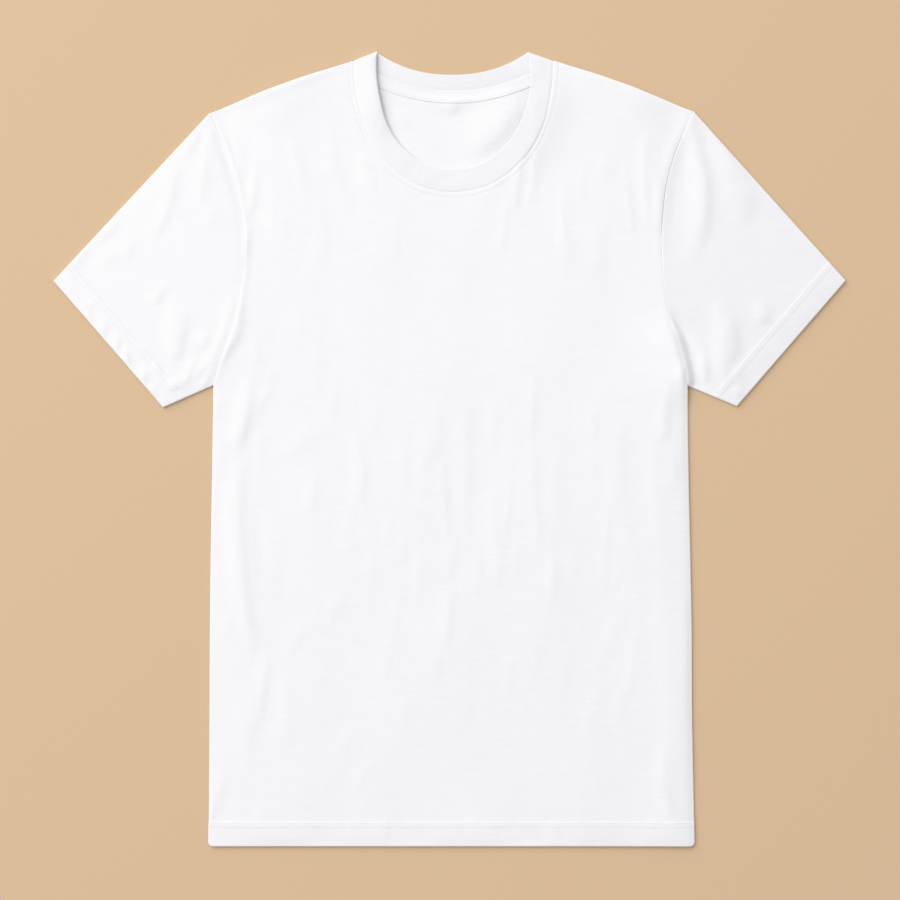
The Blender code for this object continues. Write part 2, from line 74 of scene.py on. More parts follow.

# ------------------------------------------------------------------ creases, listed one by one (mm)
Crease = namedtuple("Crease", "name high left right fade path")   # widths of its left and right slopes
BODY_CREASES = [
    Crease("side_left_1", 1.22, 7.7, 4.8, 3, [(-202, 143), (-201, 126), (-204, 111), (-212, 97), (-219, 85)]),
    Crease("side_left_2", 1.63, 8.6, 5.8, 6, [(-192, 65), (-195, 36), (-200, 15), (-204, 0)]),
    Crease("side_left_3", 1.39, 10.6, 5.8, 6, [(-201, -12), (-203, -49), (-203, -73), (-201, -97),
                                               (-199, -126), (-196, -150), (-192, -174), (-188, -192)]),
    Crease("side_left_4", 0.68, 7.7, 4.8, 6, [(-187, 106), (-184, 77), (-180, 62)]),
    Crease("side_left_5", 0.54, 7.7, 3.8, 6, [(-172, 78), (-174, 57), (-181, 44), (-186, 21)]),
    Crease("side_left_6", 0.24, 4.8, 2.9, 6, [(-181, 23), (-183, -6), (-182, -35)]),
    Crease("side_left_7", 0.54, 7.7, 4.8, 4, [(-222, 55), (-226, 38), (-230, 24)]),
    Crease("side_left_8", 0.27, 5.8, 3.8, 4, [(-214, 13), (-222, -10), (-221, -28)]),
    Crease("side_left_9", 0.24, 4.8, 2.9, 4, [(-212, -47), (-213, -72)]),
    Crease("side_left_10", 0.33, 5.8, 3.8, 6, [(-193, -64), (-189, -97), (-187, -121)]),
    Crease("side_left_11", 0.41, 4.8, 9.6, 6, [(-173, -63), (-172, -97), (-170, -135)]),
    Crease("side_left_12", 0.68, 8.6, 4.8, 6, [(-174, -197), (-180, -231), (-184, -255), (-187, -274)]),
    Crease("side_left_13", 0.27, 5.8, 3.8, 4, [(-212, -159), (-218, -188)]),
    Crease("side_left_14", 0.65, 8.6, 5.8, 4, [(-217, -309), (-225, -338), (-235, -360)]),
    Crease("side_left_15", 0.54, 9.6, 7.7, 6, [(-193, -231), (-196, -275), (-192, -304)]),
    Crease("side_left_16", 0.54, 7.7, 12.5, 6, [(-158, -222), (-158, -255), (-160, -282)]),
    Crease("side_left_17", 0.22, 3.8, 6.7, 6, [(-202, 52), (-204, 32), (-210, 8)]),
    Crease("middle_1", 0.40, 7.7, 4.8, 6, [(-107, 84), (-109, 62), (-112, 43), (-115, 17)]),
    Crease("middle_2", 0.51, 6.7, 4.8, 6, [(-88, 12), (-84, -16), (-84, -29), (-86, -44), (-80, -64)]),
    Crease("middle_3", 0.23, 3.8, 5.8, 6, [(-91, 26), (-89, -20), (-94, -54), (-100, -78), (-109, -105)]),
    Crease("middle_4", 0.25, 6.7, 4.8, 6, [(-95, -82), (-99, -106)]),
    Crease("middle_5", 0.36, 7.7, 4.8, 6, [(-127, -23), (-132, -44), (-131, -64)]),
    Crease("middle_6", 0.45, 9.6, 8.6, 6, [(-116, 17), (-139, 11), (-159, -8)]),
    Crease("middle_7", 0.23, 6.7, 3.8, 6, [(-71, 45), (-72, 11)]),
    Crease("middle_8", 0.20, 5.8, 3.8, 6, [(-44, 13), (-46, -29), (-49, -56)]),
    Crease("middle_9", 0.15, 2.9, 5.8, 6, [(-27, 114), (-26, 47), (-26, -1), (-28, -73)]),
    Crease("middle_10", 0.45, 7.7, 4.8, 6, [(-13, 45), (-12, 18), (-11, -9)]),
    Crease("middle_11", 0.50, 7.7, 3.8, 6, [(-7, -13), (-5, -49), (-2, -83)]),
    Crease("middle_12", 0.41, 7.7, 3.8, 6, [(2, -89), (1, -120)]),
    Crease("middle_13", 0.64, 7.7, 3.8, 6, [(2, -133), (0, -159), (-4, -191)]),
    Crease("middle_14", 0.20, 3.8, 5.8, 6, [(-59, -64), (-62, -97)]),
    Crease("middle_15", 0.27, 7.7, 5.8, 6, [(-43, -82), (-47, -114)]),
    Crease("middle_16", 0.25, 6.7, 4.8, 6, [(-79, -103), (-72, -130)]),
    Crease("middle_17", 0.33, 7.7, 11.5, 6, [(-27, -103), (-30, -141)]),
    Crease("middle_18", 0.36, 9.6, 7.7, 6, [(-104, -131), (-109, -161)]),
    Crease("middle_19", 0.20, 4.8, 7.7, 6, [(-153, 66), (-155, 37)]),
    Crease("middle_20", 0.30, 8.6, 5.8, 6, [(-143, 132), (-146, 91)]),
    Crease("middle_21", 0.29, 6.7, 11.5, 6, [(-129, 115), (-127, 76), (-131, 51)]),
    Crease("middle_22", 0.20, 6.7, 4.8, 6, [(-126, 47), (-122, 23)]),
    Crease("middle_23", 0.18, 5.8, 3.8, 6, [(-20, 18), (-22, -20), (-16, -49)]),
    Crease("middle_24", 0.16, 3.8, 5.8, 6, [(15, 18), (14, -39), (16, -87)]),
    Crease("right_1", 0.38, 7.7, 4.8, 6, [(17, 45), (15, 23), (16, -1), (18, -25), (14, -50)]),
    Crease("right_2", 0.31, 6.7, 4.8, 6, [(43, 45), (42, -6)]),
    Crease("right_3", 0.49, 8.6, 7.7, 6, [(46, -34), (43, -68), (47, -106), (42, -134)]),
    Crease("right_4", 0.28, 3.8, 2.9, 6, [(59, -26), (56, -58), (53, -81)]),
    Crease("right_5", 0.47, 7.7, 4.8, 6, [(81, 67), (79, 38), (78, 11)]),
    Crease("right_6", 0.45, 7.7, 4.8, 6, [(82, -2), (79, -25), (80, -49), (84, -78), (89, -105)]),
    Crease("right_7", 0.71, 7.7, 4.8, 6, [(99, -103), (100, -126), (98, -145)]),
    Crease("right_8", 0.16, 4.8, 2.9, 6, [(65, -83), (62, -129)]),
    Crease("right_9", 0.31, 7.7, 4.8, 6, [(136, 42), (138, 5)]),
    Crease("right_10", 0.21, 5.8, 3.8, 6, [(136, -3), (141, -34)]),
    Crease("right_11", 0.28, 4.8, 2.9, 6, [(155, -35), (150, -92), (148, -121), (148, -145)]),
    Crease("right_12", 0.23, 4.8, 2.9, 6, [(162, -108), (161, -133)]),
    Crease("right_13", 0.58, 12.5, 6.7, 6, [(161, 23), (162, -20), (163, -54), (169, -79)]),
    Crease("right_14", 0.51, 8.6, 15.4, 6, [(203, 70), (200, 42), (196, -1), (199, -49), (201, -77),
                                            (204, -106), (206, -145), (208, -193), (211, -241), (213, -298), (216, -342)]),
    Crease("right_15", 0.94, 5.8, 4.8, 5, [(207, 53), (206, 28), (205, 7)]),
    Crease("right_16", 0.47, 4.8, 3.8, 4, [(212, 5), (215, -15), (214, -41)]),
    Crease("right_17", 0.85, 5.8, 8.6, 3, [(221, 83), (226, 63)]),
    Crease("right_18", 0.85, 6.7, 5.8, 4, [(206, -284), (205, -318), (210, -348), (218, -369)]),
    Crease("right_19", 0.38, 6.7, 4.8, 6, [(176, -177), (174, -221), (165, -240), (164, -264)]),
    Crease("right_20", 0.31, 6.7, 4.8, 6, [(161, -157), (153, -187), (144, -209)]),
    Crease("right_21", 0.35, 4.8, 6.7, 6, [(142, -228), (134, -256), (130, -278)]),
    Crease("right_22", 0.21, 5.8, 3.8, 6, [(58, -198), (54, -235)]),
    Crease("right_23", 0.21, 5.8, 3.8, 6, [(-8, -192), (-17, -221)]),
    Crease("right_24", 0.31, 6.7, 4.8, 6, [(-51, -141), (-56, -183), (-64, -225)]),
    Crease("right_25", 0.28, 5.8, 3.8, 6, [(-111, -141), (-116, -177)]),
    Crease("right_26", 0.31, 6.7, 4.8, 6, [(-140, -167), (-156, -201)]),
    Crease("right_27", 0.31, 8.6, 5.8, 6, [(-78, -302), (-90, -326)]),
    Crease("right_28", 0.31, 8.6, 5.8, 6, [(-96, -273), (-106, -302)]),
    Crease("right_29", 0.24, 7.7, 4.8, 6, [(108, 9), (106, -30)]),
    Crease("right_30", 0.24, 4.8, 7.7, 6, [(98, -20), (103, -68)]),
    Crease("right_31", 0.21, 5.8, 3.8, 6, [(120, -92), (117, -145)]),
    Crease("right_32", 0.24, 7.7, 4.8, 6, [(29, -87), (26, -145)]),
    Crease("right_33", 0.21, 7.7, 4.8, 6, [(83, -183), (78, -231)]),
    Crease("right_34", 0.21, 7.7, 4.8, 6, [(17, -240), (11, -279)]),
    Crease("right_35", 0.24, 7.7, 4.8, 6, [(113, -183), (110, -241)]),
    Crease("right_36", 0.21, 7.7, 4.8, 6, [(-43, -246), (-49, -284)]),
    Crease("right_37", 0.21, 7.7, 4.8, 6, [(-123, -211), (-132, -255)]),
    Crease("chest_1", 0.54, 5.8, 3.8, 4, [(-209, 307), (-201, 282), (-200, 256)]),
    Crease("chest_2", 0.81, 5.8, 3.8, 4, [(-186, 266), (-188, 244), (-193, 222)]),
    Crease("chest_3", 0.67, 5.8, 3.8, 4, [(-192, 218), (-195, 196), (-199, 178)]),
    Crease("chest_4", 0.44, 6.7, 4.8, 6, [(-171, 243), (-168, 205)]),
    Crease("chest_5", 0.64, 7.7, 5.8, 5, [(-151, 300), (-144, 265), (-136, 238)]),
    Crease("chest_6", 0.64, 7.7, 4.8, 5, [(-119, 309), (-111, 277), (-104, 252), (-95, 232)]),
    Crease("chest_7", 0.54, 3.8, 5.8, 5, [(-86, 288), (-81, 259)]),
    Crease("chest_8", 0.40, 5.8, 3.8, 5, [(-79, 277), (-72, 248)]),
    Crease("chest_9", 0.48, 5.8, 3.8, 5, [(56, 243), (52, 211), (49, 186)]),
    Crease("chest_10", 0.37, 6.7, 4.8, 5, [(46, 262), (34, 235)]),
    Crease("chest_11", 0.54, 5.8, 3.8, 5, [(68, 282), (64, 249), (62, 228)]),
    Crease("chest_12", 0.54, 3.8, 5.8, 5, [(84, 292), (80, 258), (75, 233)]),
    Crease("chest_13", 0.48, 3.8, 6.7, 5, [(110, 254), (107, 215), (105, 185)]),
    Crease("chest_14", 0.40, 5.8, 3.8, 5, [(128, 273), (125, 239)]),
    Crease("chest_15", 0.40, 5.8, 3.8, 5, [(112, 212), (115, 176)]),
    Crease("chest_16", 0.44, 4.8, 6.7, 5, [(151, 286), (147, 261)]),
    Crease("chest_17", 0.30, 4.8, 2.9, 4, [(169, 273), (173, 229), (178, 200)]),
    Crease("chest_18", 0.84, 4.8, 7.7, 4, [(187, 302), (186, 268), (188, 239), (192, 211)]),
    Crease("chest_19", 0.67, 4.8, 5.8, 4, [(196, 283), (200, 239), (202, 211)]),
    Crease("chest_20", 0.44, 8.6, 5.8, 5, [(-127, 248), (-122, 201), (-124, 172)]),
    Crease("chest_21", 0.36, 8.6, 5.8, 5, [(-57, 224), (-52, 181)]),
    Crease("chest_22", 0.36, 5.8, 8.6, 5, [(139, 210), (141, 172)]),
    Crease("chest_23", 0.34, 7.7, 4.8, 5, [(-161, 224), (-159, 196)]),
    Crease("hem_1", 0.44, 6.7, 3.8, 2, [(-61, -350), (-62, -366), (-62, -380)]),
    Crease("hem_2", 0.16, 4.8, 2.9, 2, [(-45, -364), (-45, -380)]),
    Crease("hem_3", 0.22, 4.8, 2.9, 2, [(5, -348), (6, -380)]),
    Crease("hem_4", 0.44, 6.7, 5.8, 2, [(98, -357), (102, -381)]),
    Crease("hem_5", 0.22, 5.8, 3.8, 2, [(150, -349), (151, -380)]),
    Crease("hem_6", 0.13, 4.8, 2.9, 2, [(-11, -360), (-11, -380)]),
    Crease("hem_7", 0.13, 4.8, 2.9, 2, [(22, -354), (22, -377)]),
    Crease("hem_8", 0.17, 5.8, 3.8, 2, [(-137, -354), (-138, -377)]),
    Crease("hem_9", 0.26, 8.6, 5.8, 2, [(-181, -337), (-184, -377)]),
    Crease("under_shoulder", -0.45, 7.0, 7.0, 8, [(-214, 319), (-180, 331), (-144, 345), (-107, 358)]),
]
INSIDE_CREASES = [
    Crease("inside_1", 2.69, 23.0, 12.5, 1, [(63, 342), (49, 310), (21, 286)]),
    Crease("inside_2", 1.10, 8.6, 7.7, 1, [(1, 336), (3, 321)]),
    Crease("inside_3", 0.52, 8.6, 5.8, 1, [(-48, 330), (-40, 307)]),
    Crease("inside_4", 0.62, 5.8, 11.5, 1, [(62, 336), (66, 317)]),
]
SLEEVE_CREASES = {
    "left": [
        Crease("sl_1", 0.95, 6.7, 4.8, 3, [(-238, 317), (-246, 296), (-252, 281)]),
        Crease("sl_2", 0.76, 4.8, 7.7, 4, [(-230, 310), (-236, 277), (-239, 253), (-240, 229)]),
        Crease("sl_3", 0.78, 7.7, 5.8, 5, [(-262, 274), (-267, 254), (-270, 240)]),
        Crease("sl_4", 0.76, 6.7, 4.8, 5, [(-264, 250), (-272, 229), (-283, 204)]),
        Crease("sl_5", 0.95, 5.8, 4.8, 2, [(-318, 219), (-330, 209), (-343, 197)]),
        Crease("sl_6", 1.07, 7.7, 6.7, 2, [(-347, 196), (-359, 182), (-364, 172)]),
        Crease("sl_7", 0.57, 5.8, 8.6, 5, [(-321, 194), (-332, 177)]),
        Crease("sl_8", 0.57, 6.7, 4.8, 5, [(-271, 160), (-286, 139)]),
        Crease("sl_9", 0.80, 6.7, 8.6, 5, [(-264, 143), (-268, 105), (-266, 86)]),
        Crease("sl_10", 0.91, 7.7, 5.8, 5, [(-253, 136), (-259, 105), (-263, 84)]),
        Crease("sl_11", 0.69, 7.7, 5.8, 5, [(-232, 111), (-239, 97)]),
        Crease("sl_12", 0.76, 5.8, 3.8, 2, [(-244, 87), (-252, 69), (-257, 58)]),
        Crease("sl_13", 0.76, 5.8, 3.8, 2, [(-230, 89), (-239, 76), (-247, 66)]),
        Crease("sl_14", 0.91, 5.8, 7.7, 2, [(-267, 68), (-263, 56)]),
        Crease("sl_15", 0.61, 5.8, 3.8, 2, [(-283, 84), (-278, 70), (-273, 59)]),
        Crease("sl_16", 0.69, 4.8, 2.9, 2, [(-331, 124), (-331, 109)]),
        Crease("sl_17", 0.80, 4.8, 2.9, 2, [(-319, 112), (-319, 93)]),
        Crease("sl_18", 0.91, 4.8, 2.9, 2, [(-310, 100), (-309, 80)]),
        Crease("sl_19", 0.76, 4.8, 3.8, 2, [(-292, 81), (-294, 63)]),
        Crease("sl_20", 0.76, 5.8, 3.8, 2, [(-285, 62), (-286, 45)]),
        Crease("sl_21", 0.46, 5.8, 3.8, 2, [(-346, 143), (-347, 122)]),
        Crease("sl_22", 0.48, 7.7, 4.8, 5, [(-305, 202), (-312, 181)]),
        Crease("sl_23", 0.50, 8.6, 5.8, 5, [(-227, 239), (-229, 209)]),
    ],
    "right": [
        Crease("sr_1", 1.10, 8.6, 8.6, 3, [(231, 307), (235, 273), (239, 239), (237, 205), (233, 179)]),
        Crease("sr_2", 1.49, 7.7, 5.8, 3, [(231, 323), (238, 286), (245, 258), (246, 232), (243, 201)]),
        Crease("sr_3", 1.14, 9.6, 13.4, 4, [(254, 309), (268, 275), (275, 240), (277, 216)]),
        Crease("sr_4", 0.67, 9.6, 7.7, 4, [(281, 255), (287, 239), (283, 226)]),
        Crease("sr_5", 1.54, 8.6, 9.6, 3, [(259, 144), (262, 105), (263, 75), (267, 58)]),
        Crease("sr_6", 1.20, 7.7, 6.7, 3, [(269, 131), (272, 104), (272, 84)]),
        Crease("sr_7", 0.67, 6.7, 8.6, 4, [(297, 143), (299, 119)]),
        Crease("sr_8", 1.14, 5.8, 4.8, 2, [(242, 91), (244, 79), (245, 64)]),
        Crease("sr_9", 0.57, 5.8, 4.8, 2, [(277, 80), (277, 62)]),
        Crease("sr_10", 0.86, 4.8, 5.8, 2, [(274, 51), (280, 57)]),
        Crease("sr_11", 0.53, 8.6, 6.7, 4, [(305, 133), (299, 120)]),
    ],
}


# ------------------------------------------------------------------ curves
def hermite(keys, vals, at):
    keys, vals = np.asarray(keys, float), np.asarray(vals, float)
    at = np.clip(np.asarray(at, float), keys[0], keys[-1])
    m = np.empty_like(vals)
    m[1:-1] = (vals[2:] - vals[:-2]) / (keys[2:] - keys[:-2])
    m[0] = (vals[1] - vals[0]) / (keys[1] - keys[0])
    m[-1] = (vals[-1] - vals[-2]) / (keys[-1] - keys[-2])
    i = np.clip(np.searchsorted(keys, at, side="right") - 1, 0, len(keys) - 2)
    h = keys[i + 1] - keys[i]
    t = (at - keys[i]) / h
    return ((2 * t ** 3 - 3 * t ** 2 + 1) * vals[i] + (t ** 3 - 2 * t ** 2 + t) * m[i] * h
            + (3 * t ** 2 - 2 * t ** 3) * vals[i + 1] + (t ** 3 - t ** 2) * m[i + 1] * h)


def smooth(t):
    t = np.clip(t, 0.0, 1.0)
    return t * t * (3 - 2 * t)


def mix(a, b, t):
    a, b, t = np.asarray(a, float), np.asarray(b, float), np.asarray(t, float)
    return a + (b - a) * t[..., None]


def stack(x, y):
    return np.stack([np.asarray(x, float), np.asarray(y, float)], axis=-1)


def armhole(side, t, shallow=0.0):
    t = np.asarray(t, float)
    p = mix(TIP[side], UNDERARM[side], t)
    bow = np.maximum(hermite(ARM_DOWN, ARM_BOW[side], t) - shallow * np.sin(np.pi * t), 0.0)
    return stack(p[..., 0] - SIGN[side] * bow, p[..., 1])


def side_line(side, y):
    return stack(hermite(SIDE_Y, SIDE_X[side], y), y)


def shoulder(side, t):
    t = np.asarray(t, float)
    p = mix(TIP[side], (SEAM_CENTRE + SIGN[side] * SEAM_HALF, SEAM_TOP), t)
    return stack(p[..., 0], p[..., 1] + SHOULDER_ARCH * np.sin(np.pi * t))


def neck_front(turn, centre=SEAM_CENTRE, half=SEAM_HALF, drop=SEAM_DROP):
    a = np.pi * np.asarray(turn, float)
    p = 2.0 / NECK_POWER
    c, s = np.cos(a), np.sin(a)
    return stack(centre - half * np.sign(c) * np.abs(c) ** p, SEAM_TOP - drop * np.abs(s) ** p)


def neck_back(u):
    u = np.asarray(u, float)
    return stack(SEAM_CENTRE + SEAM_HALF * u, SEAM_TOP - BACK_DROP * (1 - np.abs(u) ** BACK_POWER))


def neck_back_free(u):
    u = np.asarray(u, float)
    return stack(BACK_FREE_CENTRE + BACK_FREE_HALF * u,
                 BACK_FREE_TOP - BACK_FREE_DROP * (1 - np.abs(u) ** BACK_FREE_POWER))


def resample(p, step):
    """A polyline's points at near-equal spacing."""
    p = np.asarray(p, float)
    d = np.concatenate([[0], np.cumsum(np.linalg.norm(np.diff(p, axis=0), axis=1))])
    n = max(int(round(d[-1] / step)), 1)
    at = np.linspace(0, d[-1], n + 1)
    return np.stack([np.interp(at, d, p[:, k]) for k in range(p.shape[1])], axis=-1)


def along(p, f):
    """Points at fractions of a polyline's length."""
    p = np.asarray(p, float)
    d = np.concatenate([[0], np.cumsum(np.linalg.norm(np.diff(p, axis=0), axis=1))])
    return np.stack([np.interp(np.asarray(f) * d[-1], d, p[:, k]) for k in range(p.shape[1])], axis=-1)


def arc(cx, cy, r, a0, a1, n):
    a = np.radians(np.linspace(a0, a1, n))
    return stack(cx + r * np.cos(a), cy + r * np.sin(a))


class Line:
    """A fixed curve with fast nearest-point queries."""

    def __init__(self, points, step=0.6):
        self.p = resample(points, step)
        self.d = np.concatenate([[0], np.cumsum(np.linalg.norm(np.diff(self.p, axis=0), axis=1))])
        self.tree = KDTree(len(self.p))
        for i, (x, y) in enumerate(self.p):
            self.tree.insert((x, y, 0.0), i)
        self.tree.balance()

    def near(self, q):
        """Distance, signed distance (left of the curve is positive) and length along, for each point."""
        q = np.asarray(q, float)
        flat = q.reshape(-1, 2)
        idx = np.fromiter((self.tree.find((x, y, 0.0))[1] for x, y in flat), int, len(flat))
        best = np.full(len(flat), 1e9)
        sign = np.ones(len(flat))
        s = np.zeros(len(flat))
        for shift in (-1, 0):
            a = np.clip(idx + shift, 0, len(self.p) - 2)
            p0, seg = self.p[a], self.p[a + 1] - self.p[a]
            ln = np.maximum((seg ** 2).sum(1), 1e-12)
            t = np.clip(((flat - p0) * seg).sum(1) / ln, 0, 1)
            off = flat - p0 - seg * t[:, None]
            dist = np.sqrt((off ** 2).sum(1))
            take = dist < best
            best = np.where(take, dist, best)
            sign = np.where(take, np.sign(seg[:, 0] * off[:, 1] - seg[:, 1] * off[:, 0]), sign)
            s = np.where(take, self.d[a] + t * np.sqrt(ln), s)
        shape = q.shape[:-1]
        return best.reshape(shape), (best * sign).reshape(shape), s.reshape(shape)


def join(*parts):
    out = [np.asarray(parts[0], float)]
    for p in parts[1:]:
        out.append(np.asarray(p, float)[1:] if np.allclose(out[-1][-1], p[0], atol=1e-6) else np.asarray(p, float))
    return np.concatenate(out)


# ------------------------------------------------------------------ outlines
HEM_ROUND = 4.6
T01 = np.linspace(0, 1, 161)


def hem_corner(side, back=0.0):
    """Arc of a hem corner, from the hem line to the side."""
    x = float(hermite(SIDE_Y, SIDE_X[side], HEM_Y + HEM_ROUND))
    cx, cy = x - SIGN[side] * HEM_ROUND, HEM_Y + HEM_ROUND
    return arc(cx, cy, HEM_ROUND, 270, 360, 9) if side == "right" else arc(cx, cy, HEM_ROUND, 270, 180, 9)


def silhouette():
    """The whole outline but the neck, from the left neck point round by the hem to the right one."""
    run = [shoulder("left", T01[::-1])]
    for side in ("left", "right"):
        top = mix(TIP[side], CUFF_TOP[side], np.linspace(0, 1, 40))
        cuff = mix(CUFF_TOP[side], CUFF_BOTTOM[side], np.linspace(0, 1, 30))
        under = mix(CUFF_BOTTOM[side], UNDERARM[side], np.linspace(0, 1, 12))
        body = side_line(side, np.linspace(61.0, HEM_Y + HEM_ROUND, 120))
        edge = [top, cuff, under, body, hem_corner(side)[::-1]]
        run += edge if side == "left" else [e[::-1] for e in reversed(edge)]
    run.append(shoulder("right", T01))
    return join(*run)


SIL = Line(silhouette(), 0.8)
HEM_LINE_L, HEM_LINE_R = hem_corner("left")[0], hem_corner("right")[0]
ARM = {s: Line(armhole(s, T01)) for s in SIGN}
ARM_BACK = {s: Line(armhole(s, T01, BACK_ARM_SHALLOW)) for s in SIGN}
TOP = {s: Line(shoulder(s, T01)) for s in SIGN}
NECK = Line(neck_front(np.linspace(0, 1, 401)), 0.5)
NECK_BACK = Line(neck_back(np.linspace(-1, 1, 301)), 0.5)


def plan_key(x, y):
    return (round(x * 500), round(y * 500))


def outward(p):
    """Unit outward normals at the points of a run of an anticlockwise outline."""
    t = np.gradient(p, axis=0)
    t = t / np.maximum(np.linalg.norm(t, axis=1), 1e-12)[:, None]
    return stack(t[:, 1], -t[:, 0])


def build_loop(parts):
    """parts are (name, points, roll radius, roll angle in degrees, fractions) round a closed
    anticlockwise outline, each part's last point being the next one's first.  Each is moved in
    by its radius, trimmed where it meets its neighbours, and sampled at its fractions (or kept
    point for point where there are none).  Gives the parts, and the radius and angle at each
    point."""
    runs = [np.asarray(p, float) for _, p, _, _, _ in parts]
    radii = [r for _, _, r, _, _ in parts]
    n = len(parts)
    corners = []
    for k in range(n):                                       # the corner where part k starts
        before, after = runs[k - 1], runs[k]
        u, v = before[-1] - before[-2], after[1] - after[0]
        u, v = u / np.linalg.norm(u), v / np.linalg.norm(v)
        na, nb = np.array([u[1], -u[0]]), np.array([v[1], -v[0]])
        ra, rb = radii[k - 1], radii[k]
        det = na[0] * nb[1] - na[1] * nb[0]
        if abs(det) > 0.12:
            d = np.array([-ra * nb[1] + rb * na[1], -rb * na[0] + ra * nb[0]]) / det
        else:
            m = na + nb
            d = -m / np.linalg.norm(m) * (ra + rb) / 2
        corners.append(after[0] + d)
    out, edge_pts, edge_r, edge_t = {}, [], [], []
    for k, (name, _, r, turn, at) in enumerate(parts):
        p = runs[k]
        q = p - outward(p) * r
        start, end = corners[k], corners[(k + 1) % n]
        if at is None:
            q[0], q[-1] = start, end
        else:
            u, v = p[1] - p[0], p[-1] - p[-2]
            u, v = u / np.linalg.norm(u), v / np.linalg.norm(v)
            near_a = np.linalg.norm(q - start, axis=1) < 6.0
            near_b = np.linalg.norm(q - end, axis=1) < 6.0
            bad = (near_a & ((q - start) @ u < 0.02)) | (near_b & ((end - q) @ v < 0.02))
            bad[0] = bad[-1] = True
            q = along(np.vstack([start[None], q[~bad], end[None]]), at)
        out[name] = q
        edge_pts += list(q[:-1])
        edge_r += [r] * (len(q) - 1)
        edge_t += [math.radians(turn)] * (len(q) - 1)
    rr, tt = np.array(edge_r), np.array(edge_t)
    for _ in range(2):
        rr = (np.roll(rr, 1) + 2 * rr + np.roll(rr, -1)) / 4
        tt = (np.roll(tt, 1) + 2 * tt + np.roll(tt, -1)) / 4
    edge = {plan_key(*p): ((rr[k] + rr[k - 1]) / 2, (tt[k] + tt[k - 1]) / 2) for k, p in enumerate(edge_pts)}
    return out, edge


def coons(B, T, L, R, h, g):
    """Patch between a bottom, top, left and right row of points; h and g are the blends."""
    h, g = h[None, :, None], g[:, None, None]
    B, T, L, R = B[None], T[None], L[:, None], R[:, None]
    corners = (1 - g) * ((1 - h) * B[:, :1] + h * B[:, -1:]) + g * ((1 - h) * T[:, :1] + h * T[:, -1:])
    return (1 - h) * L + h * R + (1 - g) * B + g * T - corners


def steps(length, step, start=(0.0,), end=(0.0,)):
    """Fractions 0..1 with fixed distances at each end and even steps between."""
    start, end = list(start), list(end)
    room = length - start[-1] - end[-1]
    n = max(int(round(room / step)), 1)
    mid = [start[-1] + room * k / n for k in range(1, n)]
    d = start + mid + [length - e for e in reversed(end)]
    return np.array(d) / length


class Mesh:
    """Points and quads collected from patches whose shared edges are welded."""

    def __init__(self):
        self.p, self.quads, self.key = [], [], {}

    def add(self, grid):
        rows, cols = grid.shape[:2]
        ids = np.empty((rows, cols), int)
        for j in range(rows):
            for i in range(cols):
                x, y = grid[j, i, 0], grid[j, i, 1]
                k = plan_key(x, y)
                if k not in self.key:
                    self.key[k] = len(self.p)
                    self.p.append((x, y))
                ids[j, i] = self.key[k]
        for j in range(rows - 1):
            for i in range(cols - 1):
                q = (ids[j, i], ids[j, i + 1], ids[j + 1, i + 1], ids[j + 1, i])
                if len(set(q)) == 4:
                    self.quads.append(q)
                elif len(set(q)) == 3:
                    self.quads.append(tuple(dict.fromkeys(q)))

    def loop(self):
        """The boundary, anticlockwise."""
        edges = {}
        for q in self.quads:
            n = len(q)
            for k in range(n):
                edges[(q[k], q[(k + 1) % n])] = True
        nxt = {a: b for (a, b) in edges if (b, a) not in edges}
        start = next(iter(nxt))
        out, cur = [start], nxt[start]
        while cur != start:
            out.append(cur)
            cur = nxt[cur]
        return out


def vertex_normals(p, faces):
    n = np.zeros_like(p)
    tri = []
    for q in faces:
        tri.append((q[0], q[1], q[2]))
        if len(q) == 4:
            tri.append((q[0], q[2], q[3]))
    tri = np.array(tri)
    c = np.cross(p[tri[:, 1]] - p[tri[:, 0]], p[tri[:, 2]] - p[tri[:, 0]])
    for k in range(3):
        np.add.at(n, tri[:, k], c)
    return n / np.maximum(np.linalg.norm(n, axis=1), 1e-12)[:, None]


def to_object(name, points, faces, mat, smooth_shade=True):
    me = bpy.data.meshes.new(name)
    me.from_pydata([tuple(v) for v in (np.asarray(points) * MM)], [], [tuple(int(i) for i in f) for f in faces])
    me.validate()
    if smooth_shade:
        me.shade_smooth()
    me.materials.append(mat)
    ob = bpy.data.objects.new(name, me)
    bpy.context.scene.collection.objects.link(ob)
    return ob


